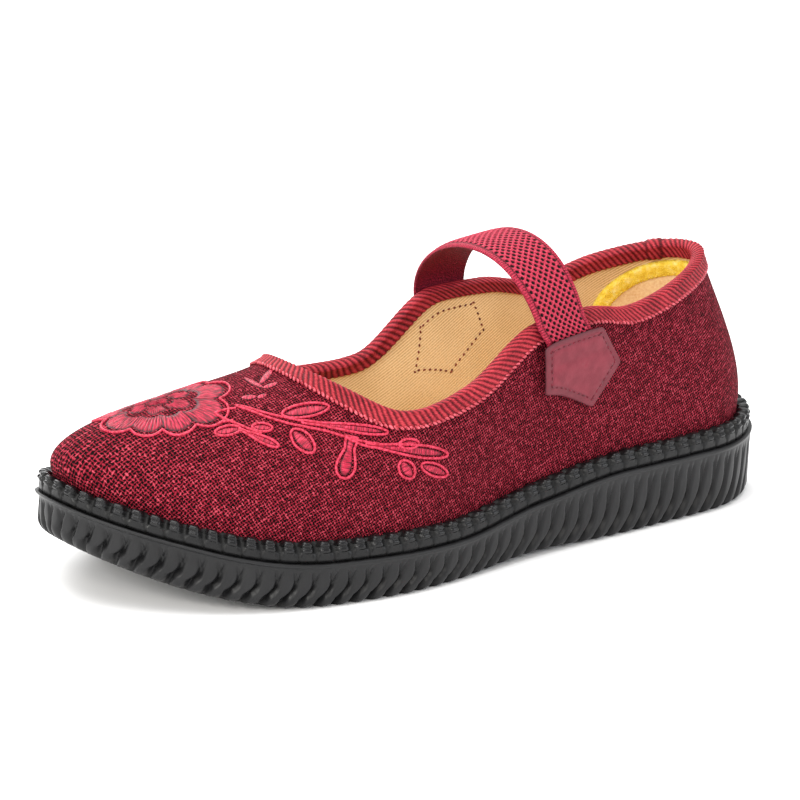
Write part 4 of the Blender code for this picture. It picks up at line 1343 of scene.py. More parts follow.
# %% Rows of stitches
def stitch_row(name, line, outwards, copies, half, lean, thread, seed=1):
    """Copies of one rounded stitch along a closed line."""
    path = path_object(name + "_line", [(line, outwards, True)])
    stitch = rounded_block(name + "_stitch", half, 0.85, 8, 6)
    mesh = grow(name, path, COPIES, {
        "Copies": copies, "Size": 1.0, "Lean": lean, "Unevenness": 0.10, "Seed": seed,
        "Shape": stitch, "Finish": thread})
    bpy.data.objects.remove(stitch)
    return add_piece(name, mesh, thread)


ROPE_PITCH = 1.55 * MM
ROPE_STITCH = (1.05 * MM, 0.44 * MM, 0.52 * MM)   # half its length, width and height
ROPE_LEAN = math.radians(-34)


def make_rope_edge():
    turn, around = even_turns(560)
    points, out = beside_wall(turn, [TAPE_REACH + 0.10 * MM], [0.62 * MM])
    copies = round(around / ROPE_PITCH)
    stitch_row("rope_edge", points[:, 0], out[:, 0], copies, ROPE_STITCH, ROPE_LEAN, RED_THREAD)


make_rope_edge()

# %% [markdown]
# ## Strap
#
# The strap is a heavy elastic webbing. Its rose yarn is knotted round rubber cores, which leaves a
# staggered field of small holes between raised knots, with a plain selvedge along both edges.
# The holes are pressed into the outer face as real relief, thirteen columns of them, 2.55 mm apart
# along the strap, and painted dark as shade.

# %% Material: elastic webbing
def elastic_webbing():
    material, tree, shader = new_material("elastic_webbing", Roughness=0.62, Specular_IOR_Level=0.18)
    flat = add_node(tree, "ShaderNodeUVMap", {"uv_map": "millimetres"}).outputs["UV"]
    hollow = add_node(tree, "ShaderNodeAttribute", {"attribute_name": "hollow"}).outputs["Fac"]
    yarn = add_node(tree, "ShaderNodeTexNoise", {"noise_dimensions": "2D"},
                    {"Vector": flat, "Scale": 2.4, "Detail": 4.0, "Roughness": 0.65})
    # The holes, the groove by the edge, the selvedge's dips and the underside are painted darker, as shade.
    tone = add_node(tree, "ShaderNodeMath", {"operation": "MULTIPLY_ADD"},
                    {0: hollow, 1: -0.95, 2: yarn.outputs["Fac"]})
    colour = ramp(tree, tone.outputs[0], [
        (0.0, "#060203"), (0.18, "#4a0816"), (0.42, "#9e1f38"), (0.72, "#d04c60")])
    cover(tree, shader, colour, yarn.outputs["Fac"], 0.6, 0.15)
    return material


ELASTIC_WEBBING = elastic_webbing()

# %% Line of the strap
STRAP_LANES = 70
STRAP_STEPS = 470
HOLE_COLUMNS = 13
HOLE_COLUMN_PITCH = 1.17 * MM
HOLE_PITCH = 2.55 * MM
HOLE_RADIUS = 0.46 * MM
HOLE_DEPTH = 0.55 * MM


def strap_ends(side_offset):
    """Inner and outer face down at the collar, on the outer and the inner side of the foot."""
    ends = []
    for side, at in (("outer", STRAP_OUTER_AT), ("inner", STRAP_INNER_AT)):
        turn = turn_beyond(turn_at(side, at), side_offset)
        clear_tape = 2 * CLEARANCE + BINDING_THICKNESS
        depths = [BINDING_REACH + STRAP_TUCK, BINDING_REACH + 0.5 * STRAP_TUCK, BINDING_REACH, 0.0]
        offsets = np.array([CLEARANCE, 0.5 * (CLEARANCE + clear_tape), clear_tape, clear_tape])
        inner, _ = beside_wall([float(turn)], depths, offsets)
        outer, _ = beside_wall([float(turn)], depths, offsets + STRAP_THICKNESS)
        ends.append((inner[0], outer[0]))
    return ends


def strap_lane(side_offset):
    """Inner and outer face line along the strap, at a distance from its middle."""
    ends = strap_ends(side_offset)
    back = np.array([STRAP_LEAN, 0.0, 0.0])
    t = np.linspace(0, 1, 241)[:, None]
    lanes = []
    for face in (0, 1):
        start, stop = ends[0][face], ends[1][face]
        extra = face * STRAP_THICKNESS
        up_start = unit(start[-1] - start[-2]) * (STRAP_RISE_OUTER + extra) - back
        up_stop = unit(stop[-1] - stop[-2]) * (STRAP_RISE_INNER + extra) - back
        arch = bezier(t, start[-1], start[-1] + up_start, stop[-1] + up_stop, stop[-1])
        lanes.append(np.concatenate([start[:-1], arch, stop[:-1][::-1]]))
    return lanes


# %% Webbing with its holes
def webbing_relief(across, along):
    """Depth of the holes and ribs, and how much painted shade each point gets."""
    column = across / HOLE_COLUMN_PITCH
    nearest = np.round(column)
    inside = np.abs(nearest) <= (HOLE_COLUMNS - 1) / 2
    shift = 0.5 * (np.abs(nearest) % 2)
    row = along / HOLE_PITCH + shift
    from_hole = np.hypot(
        (column - nearest) * HOLE_COLUMN_PITCH, (row - np.round(row)) * HOLE_PITCH * 0.85)
    hole = np.exp(-(from_hole / HOLE_RADIUS) ** 4) * inside
    # Between the holes of one column the yarn stands up as a knot.
    knot = np.exp(-((np.abs(row - np.round(row)) - 0.5) / 0.28) ** 2) * inside
    edge = smooth_step((np.abs(across) - (HOLE_COLUMNS / 2) * HOLE_COLUMN_PITCH) / (0.4 * MM))
    selvedge = edge * (0.5 + 0.5 * np.cos(2 * math.pi * along / (0.9 * MM)))
    depth = HOLE_DEPTH * hole - 0.12 * MM * knot + 0.10 * MM * selvedge
    groove = np.exp(-((np.abs(across) - (HOLE_COLUMNS / 2 + 0.2) * HOLE_COLUMN_PITCH) / (0.25 * MM)) ** 2)
    depth = depth + 0.15 * MM * groove
    # Painted shade: dark in the holes, the groove by the edge and the selvedge's dips.
    return depth, np.clip(hole * 1.15 + 0.30 * groove + 0.25 * selvedge, 0, 1)


def make_strap():
    across = np.linspace(-STRAP_WIDTH / 2, STRAP_WIDTH / 2, STRAP_LANES)
    inner, outer = [], []
    for offset in across:
        lane = strap_lane(offset)
        line, long = even_line(lane[1], STRAP_STEPS)
        outer.append(line)
        inner.append(even_line(lane[0], STRAP_STEPS)[0])
    outer = np.stack(outer, axis=1)
    inner = np.stack(inner, axis=1)
    along = np.linspace(0, long, STRAP_STEPS)
    print("strap length in mm", round(long / MM, 1))
    depth, hollow = webbing_relief(across[None, :], along[:, None])
    thick = unit(outer - inner)
    # The webbing's edges are rounded, so both faces come together over the last millimetre.
    from_edge = STRAP_WIDTH / 2 - np.abs(across)
    rounding = 0.55 * MM * (1 - np.sqrt(np.clip(1 - (1 - from_edge / (0.9 * MM)).clip(0) ** 2, 0, 1)))
    outer = outer - thick * (depth + rounding[None, :])[..., None]
    ribs = 0.07 * MM * (0.5 + 0.5 * np.cos(2 * math.pi * along / (1.3 * MM)))[:, None]
    inner = inner + thick * (rounding[None, :] + ribs)[..., None]
    section = np.concatenate([outer, inner[:, ::-1]], axis=1)
    under_shade = np.full(inner.shape[:2], 0.28)
    shades = np.concatenate([hollow, under_shade], axis=1)
    uv_v = np.concatenate([across, across[::-1] + 30 * MM, across[:1]]) / MM
    uv_u = np.append(along, along[-1]) / MM
    uv = np.stack(np.meshgrid(uv_u, uv_v, indexing="ij"), axis=-1)
    caps = [
        {"points": np.stack([outer[end], inner[end]], axis=0)} for end in (0, -1)]
    mesh = skin("strap_webbing", [
        {"points": section, "uv": uv, "hollow": shades, "closed": (False, True)}] + caps)
    return add_piece("strap_webbing", mesh, ELASTIC_WEBBING, ["strap"])


make_strap()

# %% [markdown]
# ## Patches
#
# Each end of the strap is covered by a five-sided patch of leatherette, a fabric coated with
# polyurethane and pressed with a fine grain. A hot tool has flattened and dulled its edge, and one
# row of dark stitches holds it down just inside that edge. The same stitches come through on the
# lining as a dotted outline.

# %% Material: leatherette
def leatherette():
    material, tree, shader = new_material("leatherette", Roughness=0.50, Specular_IOR_Level=0.30)
    place = add_node(tree, "ShaderNodeTexCoord").outputs["Object"]
    hollow = add_node(tree, "ShaderNodeAttribute", {"attribute_name": "hollow"}).outputs["Fac"]
    grain = add_node(tree, "ShaderNodeTexVoronoi", {}, {"Vector": place, "Scale": 1500.0})
    cloud = add_node(tree, "ShaderNodeTexNoise", {}, {"Vector": place, "Scale": 300.0, "Detail": 4.0})
    body = ramp(tree, cloud.outputs["Fac"], [(0.35, "#6e1b2a"), (0.65, "#7c2634")])
    # The rim is darker and duller, and the pressed stitch line and the rolled edge are painted darker as
    # shade.
    dull_rim_and_shade = add_node(tree, "ShaderNodeMix", {"data_type": "RGBA"},
                    {"Factor": hollow, "A": body, "B": linear("#4c242b")})
    cover(tree, shader, dull_rim_and_shade.outputs["Result"], grain.outputs["Distance"], 0.35, 0.08)
    return material


LEATHERETTE = leatherette()

# %% Outline and place of a patch
PATCH_CORNER_ROUND = 0.06    # share of an edge that a rounded corner takes
RIM_POINTS = 120
PATCH_RINGS = 22
STITCH_INSET = 2.3 * MM


def patch_rim():
    """Closed rim of the patch in its own flat sizes, with rounded corners, and its middle."""
    corners = np.stack([
        np.array(PATCH_CORNERS["side"]) * PATCH_WIDTH,
        np.array(PATCH_CORNERS["down"]) * PATCH_DROP], axis=-1)
    rim = []
    for k, corner in enumerate(corners):
        before = corner + PATCH_CORNER_ROUND * (corners[k - 1] - corner)
        after = corner + PATCH_CORNER_ROUND * (corners[(k + 1) % len(corners)] - corner)
        for t in np.linspace(0, 1, 9):
            rim.append((1 - t) ** 2 * before + 2 * t * (1 - t) * corner + t * t * after)
    spread, _ = even_line(np.array(rim + rim[:1]), RIM_POINTS, closed=True)
    return spread, corners.mean(axis=0)


def inside_rim(rim, middle, inset):
    """The rim moved inwards by a real distance, nearly parallel to itself."""
    run = np.roll(rim, -1, axis=0) - np.roll(rim, 1, axis=0)
    side = unit(np.stack([-run[:, 1], run[:, 0]], axis=-1))
    return rim + side * np.sign((side * (middle - rim)).sum(axis=1, keepdims=True)) * inset


def patch_turns(side, at, flat_points):
    """Turns of a patch's points, which run a little ahead of the strap on the inner side."""
    ahead = flat_points[:, 0] + PATCH_AHEAD[side] + PATCH_FORWARD[side] * flat_points[:, 1]
    return turn_beyond(turn_at(side, at), ahead)


def on_patch(side, at, flat_points, lift):
    """Place flat points of a patch over the strap's end and down onto the cloth."""
    turns = patch_turns(side, at, flat_points)
    tape_top = 2 * CLEARANCE + BINDING_THICKNESS
    over_strap = STRAP_THICKNESS + 2 * CLEARANCE
    down = CLEARANCE + flat_points[:, 1]
    tail = tape_top + (CLEARANCE - tape_top) * np.clip(down / STRAP_TUCK, 0, 1)
    past = smooth_step((down - STRAP_TUCK - PATCH_THICKNESS) / PATCH_EASE)
    stand_off = tail + over_strap * (1 - past)
    points, out = beside_wall(turns, (BINDING_REACH + down)[:, None], (stand_off + lift)[:, None])
    return points[:, 0], out[:, 0]


# %% Patch and its stitches
STITCH_PITCH = 2.15 * MM
PATCH_STITCH = (0.70 * MM, 0.30 * MM, 0.24 * MM)
LINING_DOT = (0.52 * MM, 0.34 * MM, 0.22 * MM)


def make_patch(side, at):
    rim, middle = patch_rim()
    stitched = inside_rim(rim, middle, STITCH_INSET)
    # Rings from the middle out: close together at the stitches and at the rolled edge.
    shares = np.concatenate([np.linspace(0.02, 0.74, 9), np.linspace(0.78, 0.985, PATCH_RINGS - 10), [1.0]])
    top, shade = [], []
    for share in shares:
        flat = middle + (rim - middle) * share
        from_edge = np.linalg.norm(rim - middle, axis=1) * (1 - share)
        from_stitch = np.min(np.linalg.norm(flat[:, None] - stitched[None], axis=-1), axis=1)
        rolled = smooth_step(from_edge / (0.35 * MM))
        pressed = 0.22 * MM * np.exp(-(from_stitch / (0.45 * MM)) ** 2)
        crown = 0.12 * MM * smooth_step((from_edge - 2.6 * MM) / (4 * MM))
        rim_pressed = 0.22 * MM * (1 - smooth_step((from_edge - 1.6 * MM) / (0.8 * MM)))
        lift = PATCH_THICKNESS * (0.70 + 0.30 * rolled) - pressed - rim_pressed + crown
        points, _ = on_patch(side, at, flat, lift)
        top.append(points)
        # The rim is darker, more so towards the patch's top; the pressed stitch line and the rolled edge get
        # painted shade.
        rim_darkening = 0.30 + 0.45 * np.clip(1 - (flat[:, 1] + from_edge) / (3 * MM), 0, 1)
        in_rim = 1 - smooth_step((from_edge - 1.7 * MM) / (0.5 * MM))
        shade.append(rim_darkening * in_rim + 0.5 * pressed / (0.22 * MM) + 0.5 * (1 - rolled))
    base, _ = on_patch(side, at, rim, np.zeros(len(rim)))
    centre, _ = on_patch(side, at, middle[None], np.array([PATCH_THICKNESS * 0.92 + 0.12 * MM]))
    under, _ = on_patch(side, at, middle[None], np.zeros(1))
    ends = [np.repeat(middle_point, len(rim), axis=0) for middle_point in (centre, under)]
    grid = np.stack(ends[:1] + top + [base] + ends[1:], axis=1)
    hollow = np.stack([np.zeros(len(rim))] + shade + [np.ones(len(rim)), np.ones(len(rim))], axis=1)
    name = "leatherette_" + side
    mesh = skin(name, [{"points": grid, "hollow": np.clip(hollow, 0, 1), "closed": (True, False)}])
    add_piece(name, mesh, LEATHERETTE, ["patch_" + side])
    lift = PATCH_THICKNESS * 0.92 - 0.12 * MM
    line, out = on_patch(side, at, stitched, np.full(len(rim), lift))
    around = np.linalg.norm(np.diff(line, axis=0), axis=1).sum()
    copies = round(around / STITCH_PITCH)
    stitch_row("stitches_" + side, line, out, copies, PATCH_STITCH, 0.0, WINE_THREAD, 7)
    turns = patch_turns(side, at, stitched)
    depth = BINDING_REACH + np.maximum(CLEARANCE + stitched[:, 1], 0.6 * MM)
    inside, out = beside_wall(turns, depth[:, None], [[-UPPER_THICKNESS - 0.08 * MM]])
    stitch_row(
        "lining_dots_" + side, inside[:, 0], -out[:, 0], copies, LINING_DOT, 0.3, BROWN_THREAD, 9)


make_patch("outer", STRAP_OUTER_AT)
make_patch("inner", STRAP_INNER_AT)

# %% [markdown]
# ## Embroidery
#
# A peony sits on the toe, with a sprig that trails along the outer side. Each motif is couched: a
# bright cord runs round it, and satin stitches fill the inside, with a dark gap between the two,
# where the fill's edge is painted darker as shade.
# The trailing sprig is laid out as the photograph shows it: the named pixel places are sent along
# the camera's rays until they meet the cloth. The peony turns over the crest of the toe, where no
# ray reaches, so it is a rosette in real millimetres round its own middle, dropped onto the vamp.

# %% Where a ray meets the cloth
def cloth_tree():
    grid = FACE[:-1, 1:]
    columns, rows = grid.shape[:2]
    quads, _ = grid_faces(columns, rows, True, False)
    return BVHTree.FromPolygons([Vector(p) for p in grid.reshape(-1, 3)], quads.tolist())


CLOTH_TREE = cloth_tree()


def meet_cloth(origins, directions):
    """Where rays meet the cloth and which way it faces there."""
    places, outwards = [], []
    for origin, direction in zip(origins, directions):
        place, normal, _, _ = CLOTH_TREE.ray_cast(Vector(origin), Vector(direction))
        if place is None:
            place, normal = Vector(origin), Vector((0, 0, 1))
            print("a ray missed the cloth at", np.round(np.array(origin), 4))
        if normal.dot(Vector(direction)) > 0:
            normal = -normal
        places.append(place)
        outwards.append(normal)
    return np.array(places), np.array(outwards)


def from_pixels(pixels):
    """Points of the cloth behind pixels of the photograph's 800 pixel frame."""
    pixels = np.asarray(pixels, float)
    sideways = (pixels[:, :1] - FRAME_PIXELS / 2) / CAMERA_FOCUS
    upwards = (FRAME_PIXELS / 2 - pixels[:, 1:]) / CAMERA_FOCUS
    rays = sideways * RIGHT + upwards * UP - BACK
    return meet_cloth(np.repeat(EYE[None], len(pixels), axis=0), rays)


def from_above(plan):
    """Points of the cloth below places in plan, in metres."""
    origins = np.concatenate([plan, np.full((len(plan), 1), 0.2)], axis=1)
    return meet_cloth(origins, np.repeat([[0.0, 0.0, -1.0]], len(plan), axis=0))


# %% Shapes of the trailing sprig, in pixels of the photograph
# Each leaf runs from its base to its tip. Width is across it, bulge is where it is widest, and
# base is how much of the width it keeps at its base.
LEAVES = {
    "base_x": (282, 292, 252, 215, 239, 302, 366, 352, 399, 401, 421),
    "base_y": (414.5, 430.5, 427, 433, 429.5, 422, 445, 437, 444.5, 461, 465),
    "tip_x": (329, 313.5, 272.5, 240.5, 278.5, 388, 447.5, 343, 418.5, 412, 447),
    "tip_y": (407, 452, 428.5, 429, 446.5, 432.5, 454.5, 478.5, 443, 478, 474.5),
    "width": (13.5, 17, 8.5, 9.5, 7, 8.5, 12.5, 19, 9.5, 15.5, 12.5),
    "bulge": (0.5, 0.5, 0.5, 0.5, 0.72, 0.74, 0.70, 0.72, 0.5, 0.5, 0.5),
    "base": (0.0, 0.0, 0.0, 0.0, 0.25, 0.35, 0.25, 0.65, 0.0, 0.0, 0.0),
}
STEMS = (
    ((236, 406.5), (250, 411), (271, 418.8), (292, 424.5), (312, 428.5), (327, 431.5),
     (344, 436.7), (364, 441.7), (379, 444.4)),
    ((235, 405.5), (247, 407.8), (264, 413), (282, 417.3), (304, 421.5)),
    ((345, 437.5), (361, 444.6), (373, 448)),
    ((236, 408.5), (226, 410), (216, 412.8), (217.5, 415.6), (226.5, 420), (237, 424.2),
     (250, 429.5), (262, 434)),
    ((219, 423.2), (226, 421.8), (233, 421)),
)
# A loose tuft near the throat, in satin alone.
TUFT = {
    "base_x": (259.5, 264, 263, 257, 241),
    "base_y": (384, 388, 388, 398, 398),
    "tip_x": (273.5, 244, 278, 267, 257),
    "tip_y": (368.5, 378, 383, 394.5, 396.5),
    "width": (6.5, 4.5, 4.5, 4.5, 5.0),
}


def leaf_grid(base, tip, width, bulge, keep, columns, rows):
    """Grid over a leaf in the plane of its table: columns along it, rows across from edge to edge."""
    base, tip = np.array(base, float), np.array(tip, float)
    run = tip - base
    across = unit(np.array([-run[1], run[0]]))
    s = (1 - np.cos(np.linspace(0, math.pi, columns))) / 2
    to_bulge = s ** (math.log(0.5) / math.log(bulge))
    round_off = np.sqrt(np.clip(np.sin(math.pi * to_bulge), 0, None))
    neck = keep * np.clip(1 - s / bulge, 0, 1) ** 0.5
    half = width / 2 * np.maximum(round_off, neck)
    t = np.linspace(-1, 1, rows)
    return base + run * s[:, None, None] + across * (half[:, None] * t[None, :])[..., None]


# %% Material: rayon embroidery thread
def rayon_thread():
    """Bright, silky viscose. Each stitch is a thin filament line, and its streaky gloss is painted into the
    colour as light and dark streaks.
    """
    material, tree, shader = new_material(
        "rayon_thread", Roughness=0.42, Specular_IOR_Level=0.30)
    flat = add_node(tree, "ShaderNodeUVMap", {"uv_map": "millimetres"}).outputs["UV"]
    strand = add_node(tree, "ShaderNodeMapping", {},
                      {"Vector": flat, "Rotation": (0.0, 0.0, math.radians(20)), "Scale": (3.2, 0.35, 1.0)})
    line = add_node(tree, "ShaderNodeTexNoise", {"noise_dimensions": "2D"},
                    {"Vector": strand.outputs[0], "Scale": 1.0, "Detail": 3.0})
    hollow = add_node(tree, "ShaderNodeAttribute", {"attribute_name": "hollow"}).outputs["Fac"]
    # Painted sheen and shade: the streaks run from near black to pale rose, and the satin is darker where
    # hollow marks its edges and the gaps between petals.
    tone = add_node(tree, "ShaderNodeMath", {"operation": "MULTIPLY_ADD"},
                    {0: hollow, 1: -0.6, 2: line.outputs["Fac"]})
    colour = ramp(tree, tone.outputs[0], [
        (0.05, "#180206"), (0.32, "#6c0820"), (0.52, "#a81434"), (0.75, "#d03a58")])
    cover(tree, shader, colour, line.outputs["Fac"], 0.7, 0.2)
    return material


def rayon_cord():
    """The couched cord: the same yarn twisted hard, so it is a little paler."""
    material, tree, shader = new_material("rayon_cord", Roughness=0.45, Specular_IOR_Level=0.30)
    place = add_node(tree, "ShaderNodeTexCoord").outputs["Object"]
    twist = add_node(tree, "ShaderNodeTexNoise", {}, {"Vector": place, "Scale": 1400.0, "Detail": 2.0})
    colour = ramp(tree, twist.outputs["Fac"], [(0.35, "#981029"), (0.65, "#d43c58")])
    cover(tree, shader, colour, twist.outputs["Fac"], 0.6, 0.15)
    return material


RAYON_THREAD = rayon_thread()
RAYON_CORD = rayon_cord()

# %% Satin fills and cords of the sprig
CORD_RADIUS = 0.42 * MM
SATIN_HEIGHT = 0.42 * MM
SATIN_SHARE = 0.72           # width of the fill inside its cord
LEAF_COLUMNS = 40
LEAF_ROWS = 15


def curve_through(points, count):
    """Smooth line through given points, sampled at equal steps (Catmull-Rom)."""
    points = np.asarray(points, float)
    padded = np.concatenate([2 * points[:1] - points[1:2], points, 2 * points[-1:] - points[-2:-1]])
    t = np.linspace(0, 1, 12, endpoint=False)[:, None]
    pieces = []
    for a, b, c, d in zip(padded[:-3], padded[1:-2], padded[2:-1], padded[3:]):
        pieces.append(0.5 * (2 * b + (c - a) * t + (2 * a - 5 * b + 4 * c - d) * t ** 2
                             + (3 * b - a - 3 * c + d) * t ** 3))
    return even_line(np.concatenate(pieces + [points[-1:]]), count)[0]


def satin_grid(flat, share):
    """Raised fill over a leaf: domed across, with a ridge for every stitch."""
    columns, rows = flat.shape[:2]
    places, out = from_pixels(flat.reshape(-1, 2))
    places = places.reshape(columns, rows, 3)
    out = out.reshape(columns, rows, 3)
    across = np.linspace(-1, 1, rows)[None, :]
    along = np.arange(columns)[:, None]
    dome = np.sqrt(np.clip(1 - across ** 2, 0, 1))
    ends = np.sqrt(np.clip(np.sin(math.pi * np.linspace(0, 1, columns)), 0, 1))[:, None]
    ridge = 0.82 + 0.18 * np.cos(math.pi * (along + across * 2))
    lift = SATIN_HEIGHT * share * dome * ends * ridge
    top = places + out * (lift + 0.02 * MM)[..., None]
    low = places - out * (0.15 * MM)
    uv_u = np.linspace(0, np.linalg.norm(places[-1, rows // 2] - places[0, rows // 2]) / MM, columns)
    uv_v = np.linspace(0, np.linalg.norm(places[columns // 2, -1] - places[columns // 2, 0]) / MM, rows)
    uv = np.stack(np.meshgrid(uv_u, uv_v, indexing="ij"), axis=-1)
    uv = np.pad(uv, ((0, 1), (0, 1), (0, 0)), mode="edge")
    # Painted shade: the fill darkens towards its edges and ends, and its sides and underside are dark.
    hollow = np.clip(1 - dome * ends * 1.3, 0, 1)
    skirt = np.stack([
        np.concatenate([face[:, 0], face[-1, 1:], face[::-1, -1][1:], face[0, ::-1][1:-1]])
        for face in (top, low)], axis=1)
    return [
        {"points": top, "uv": uv, "hollow": hollow},
        {"points": skirt, "hollow": 1.0, "closed": (True, False)},
        {"points": low, "hollow": 1.0}]


def make_sprig():
    fills, cords = [], []
    for base_x, base_y, tip_x, tip_y, width, bulge, keep in zip(*LEAVES.values()):
        base, tip = (base_x, base_y), (tip_x, tip_y)
        outline = leaf_grid(base, tip, width, bulge, keep, 48, 2)
        loop = np.concatenate([outline[:, 0], outline[::-1, 1][1:-1]])
        places, out = from_pixels(loop)
        cords.append((places + out * 0.5 * CORD_RADIUS, out, True))
        inner = leaf_grid(base, tip, width * SATIN_SHARE, bulge, keep, LEAF_COLUMNS, LEAF_ROWS)
        middle = (np.array(base) + np.array(tip)) / 2
        inner = middle + (inner - middle) * 0.86
        fills.extend(satin_grid(inner, 1.0))
    for stem in STEMS:
        line = curve_through(stem, 60)
        places, out = from_pixels(line)
        cords.append((places + out * 0.5 * CORD_RADIUS, out, False))
    for base_x, base_y, tip_x, tip_y, width in zip(*TUFT.values()):
        flat = leaf_grid((base_x, base_y), (tip_x, tip_y), width, 0.5, 0.3, 24, 9)
        fills.extend(satin_grid(flat, 0.7))
    return fills, cords


# %% [markdown]
# The peony has nine outer petals of uneven reach, five inner ones and a knot in the middle. Its
# radius at any angle is the longest petal there, and its relief comes from the same rule: threads
# run outwards, petals swell in their middles and sink where they meet.

# %% Peony
PEONY_MIDDLE = (0.0880, -0.0100)
PEONY_PETALS = {
    "angle": (10, 46, 84, 118, 158, 200, 240, 282, 325),
    "reach": (19.8, 18.2, 19.2, 23.0, 21.6, 20.0, 19.0, 18.0, 19.0),
    "half": (23, 23, 23, 22, 24, 24, 24, 24, 24),
}
PEONY_NOTCH = 0.24           # how deep the outline dips between two petals
INNER_PETALS = 6
INNER_RING = 0.50            # share of the radius
KNOT_RING = 0.20


def peony_radius(angle):
    """Outline of the flower: the longest petal at each angle, and how far between petals it is."""
    reach = np.zeros(angle.shape)
    crown = np.zeros(angle.shape)
    for middle, long, half in zip(*PEONY_PETALS.values()):
        away = np.degrees(np.abs(np.angle(np.exp(1j * (angle - math.radians(middle)))))) / half
        petal = long * MM * (1 - PEONY_NOTCH * away ** 2.4)
        crown = np.where(petal > reach, 1 - away, crown)
        reach = np.maximum(reach, petal)
    return reach, np.clip(crown, 0, 1)


def peony_lift(share, angle, crown):
    """Height of the satin over the cloth, from the middle outwards."""
    outer = smooth_step((share - INNER_RING - 0.03) / 0.10) * (1 - smooth_step((share - 0.86) / 0.07))
    outer = outer * smooth_step(crown * 3.0)
    lobes = 0.5 + 0.5 * np.cos(INNER_PETALS * angle + 0.6)
    ring = INNER_RING * (0.78 + 0.22 * lobes)
    inner = smooth_step((share - KNOT_RING) / 0.06) * (1 - smooth_step((share - ring + 0.06) / 0.06))
    inner = inner * smooth_step(lobes * 4.0)
    knot = 1 - smooth_step((share - KNOT_RING + 0.09) / 0.06)
    vein = 0.72 + 0.28 * np.cos(96 * angle + 5 * np.sin(3 * angle) + 9 * share)
    return SATIN_HEIGHT * 1.1 * np.maximum(np.maximum(outer, inner), knot) * vein


def make_peony():
    angle = np.linspace(0, 2 * math.pi, 480, endpoint=False)
    share = np.linspace(0.0, 1.0, 46)
    radius, crown = peony_radius(angle)
    plan = np.array(PEONY_MIDDLE) + (
        share[None, :, None] * radius[:, None, None]
        * np.stack([np.cos(angle), np.sin(angle)], axis=-1)[:, None, :])
    places, out = from_above(plan.reshape(-1, 2))
    places = places.reshape(plan.shape[:2] + (3,))
    out = out.reshape(places.shape)
    lift = peony_lift(share[None, :], angle[:, None], crown[:, None])
    top = places + out * (lift - 0.06 * MM)[..., None]
    low = places - out * 0.3 * MM
    # Painted shade: the satin is darker where it lies low, between the petals and in the dips of its veins.
    hollow = np.clip(1 - lift / (0.75 * SATIN_HEIGHT), 0, 1)
    girth = np.append(angle, 2 * math.pi)[:, None] * 12.0 * np.ones((1, len(share) + 1))
    outwards = np.append(share, 1.0)[None, :] * 20.0 * np.ones((len(angle) + 1, 1))
    uv = np.stack([girth, outwards], axis=-1)
    fills = [
        {"points": top, "uv": uv, "hollow": hollow, "closed": (True, False)},
        {"points": np.stack([top[:, -1], low[:, -1]], axis=1), "closed": (True, False)},
        {"points": low, "closed": (True, False)}]
    rim = places[:, -1] + out[:, -1] * 0.5 * CORD_RADIUS
    cords = [(rim, out[:, -1], True)]
    return fills, cords


# %% Sew the embroidery on
def make_embroidery():
    sprig_fills, sprig_cords = make_sprig()
    peony_fills, peony_cords = make_peony()
    mesh = skin("embroidery_satin", sprig_fills + peony_fills)
    add_piece("embroidery_satin", mesh, RAYON_THREAD)
    path = path_object("cord_lines", sprig_cords + peony_cords)
    mesh = grow("embroidery_cord", path, THREAD, {
        "Radius": CORD_RADIUS, "Step": 0.45 * MM, "Sides": 7, "Finish": RAYON_CORD})
    add_piece("embroidery_cord", mesh, RAYON_CORD)


make_embroidery()

# %% [markdown]
# ## Inside
#
# Behind the heel lies a thin foam pad covered in tan cotton, and a band of yellow towelling is sewn
# round it like an arch. Towelling is a cloth of small loops, so the third tree scatters about a
# thousand of them over the band. The footbed is a foam insole faced with the same twill.

# %% Material: tan pad and yellow towelling
def tan_cotton():
    material, tree, shader = new_material("tan_cotton", Roughness=0.95, Specular_IOR_Level=0.10)
    place = add_node(tree, "ShaderNodeTexCoord").outputs["Object"]
    nap = add_node(tree, "ShaderNodeTexNoise", {}, {"Vector": place, "Scale": 1300.0, "Detail": 5.0})
    patchy = add_node(tree, "ShaderNodeTexNoise", {}, {"Vector": place, "Scale": 110.0, "Detail": 3.0})
    tone = add_node(tree, "ShaderNodeMath", {"operation": "MULTIPLY_ADD"},
                    {0: patchy.outputs["Fac"], 1: 0.6, 2: nap.outputs["Fac"]})
    colour = ramp(tree, tone.outputs[0], [(0.50, "#e6c08c"), (1.0, "#fbe4bc")])
    cover(tree, shader, colour, nap.outputs["Fac"], 0.6, 0.2)
    return material


def towelling():
    material, tree, shader = new_material("towelling", Roughness=0.95, Specular_IOR_Level=0.10)
    place = add_node(tree, "ShaderNodeTexCoord").outputs["Object"]
    tuft = add_node(tree, "ShaderNodeTexNoise", {}, {"Vector": place, "Scale": 500.0, "Detail": 3.0})
    colour = ramp(tree, tuft.outputs["Fac"], [(0.30, "#e8c640"), (0.50, "#f8e058"), (0.75, "#fdf0a0")])
    cover(tree, shader, colour, tuft.outputs["Fac"], 0.8, 0.3)
    return material


TAN_COTTON = tan_cotton()
TOWELLING = towelling()

# %% Heel pad
ARCH_CENTRE = -8.0 * MM      # a little to the inner side of the heel's back
ARCH_SPREAD = 37.5 * MM      # half the arch's foot, along the wall
ARCH_TOP = 0.3 * MM          # below the tape
ARCH_FOOT = 31.0 * MM
BAND_WIDTH = 6.0 * MM
PAD_BULGE = 0.9 * MM


def arch_line(inset, angles):
    """Places on the arch, along the wall and down from the tape."""
    wide = ARCH_SPREAD - inset
    tall = ARCH_FOOT - ARCH_TOP - inset
    side = np.sign(np.cos(angles)) * np.abs(np.cos(angles)) ** 0.85
    up = np.sin(angles) ** 0.85
    return ARCH_CENTRE + wide * side, ARCH_FOOT - tall * up


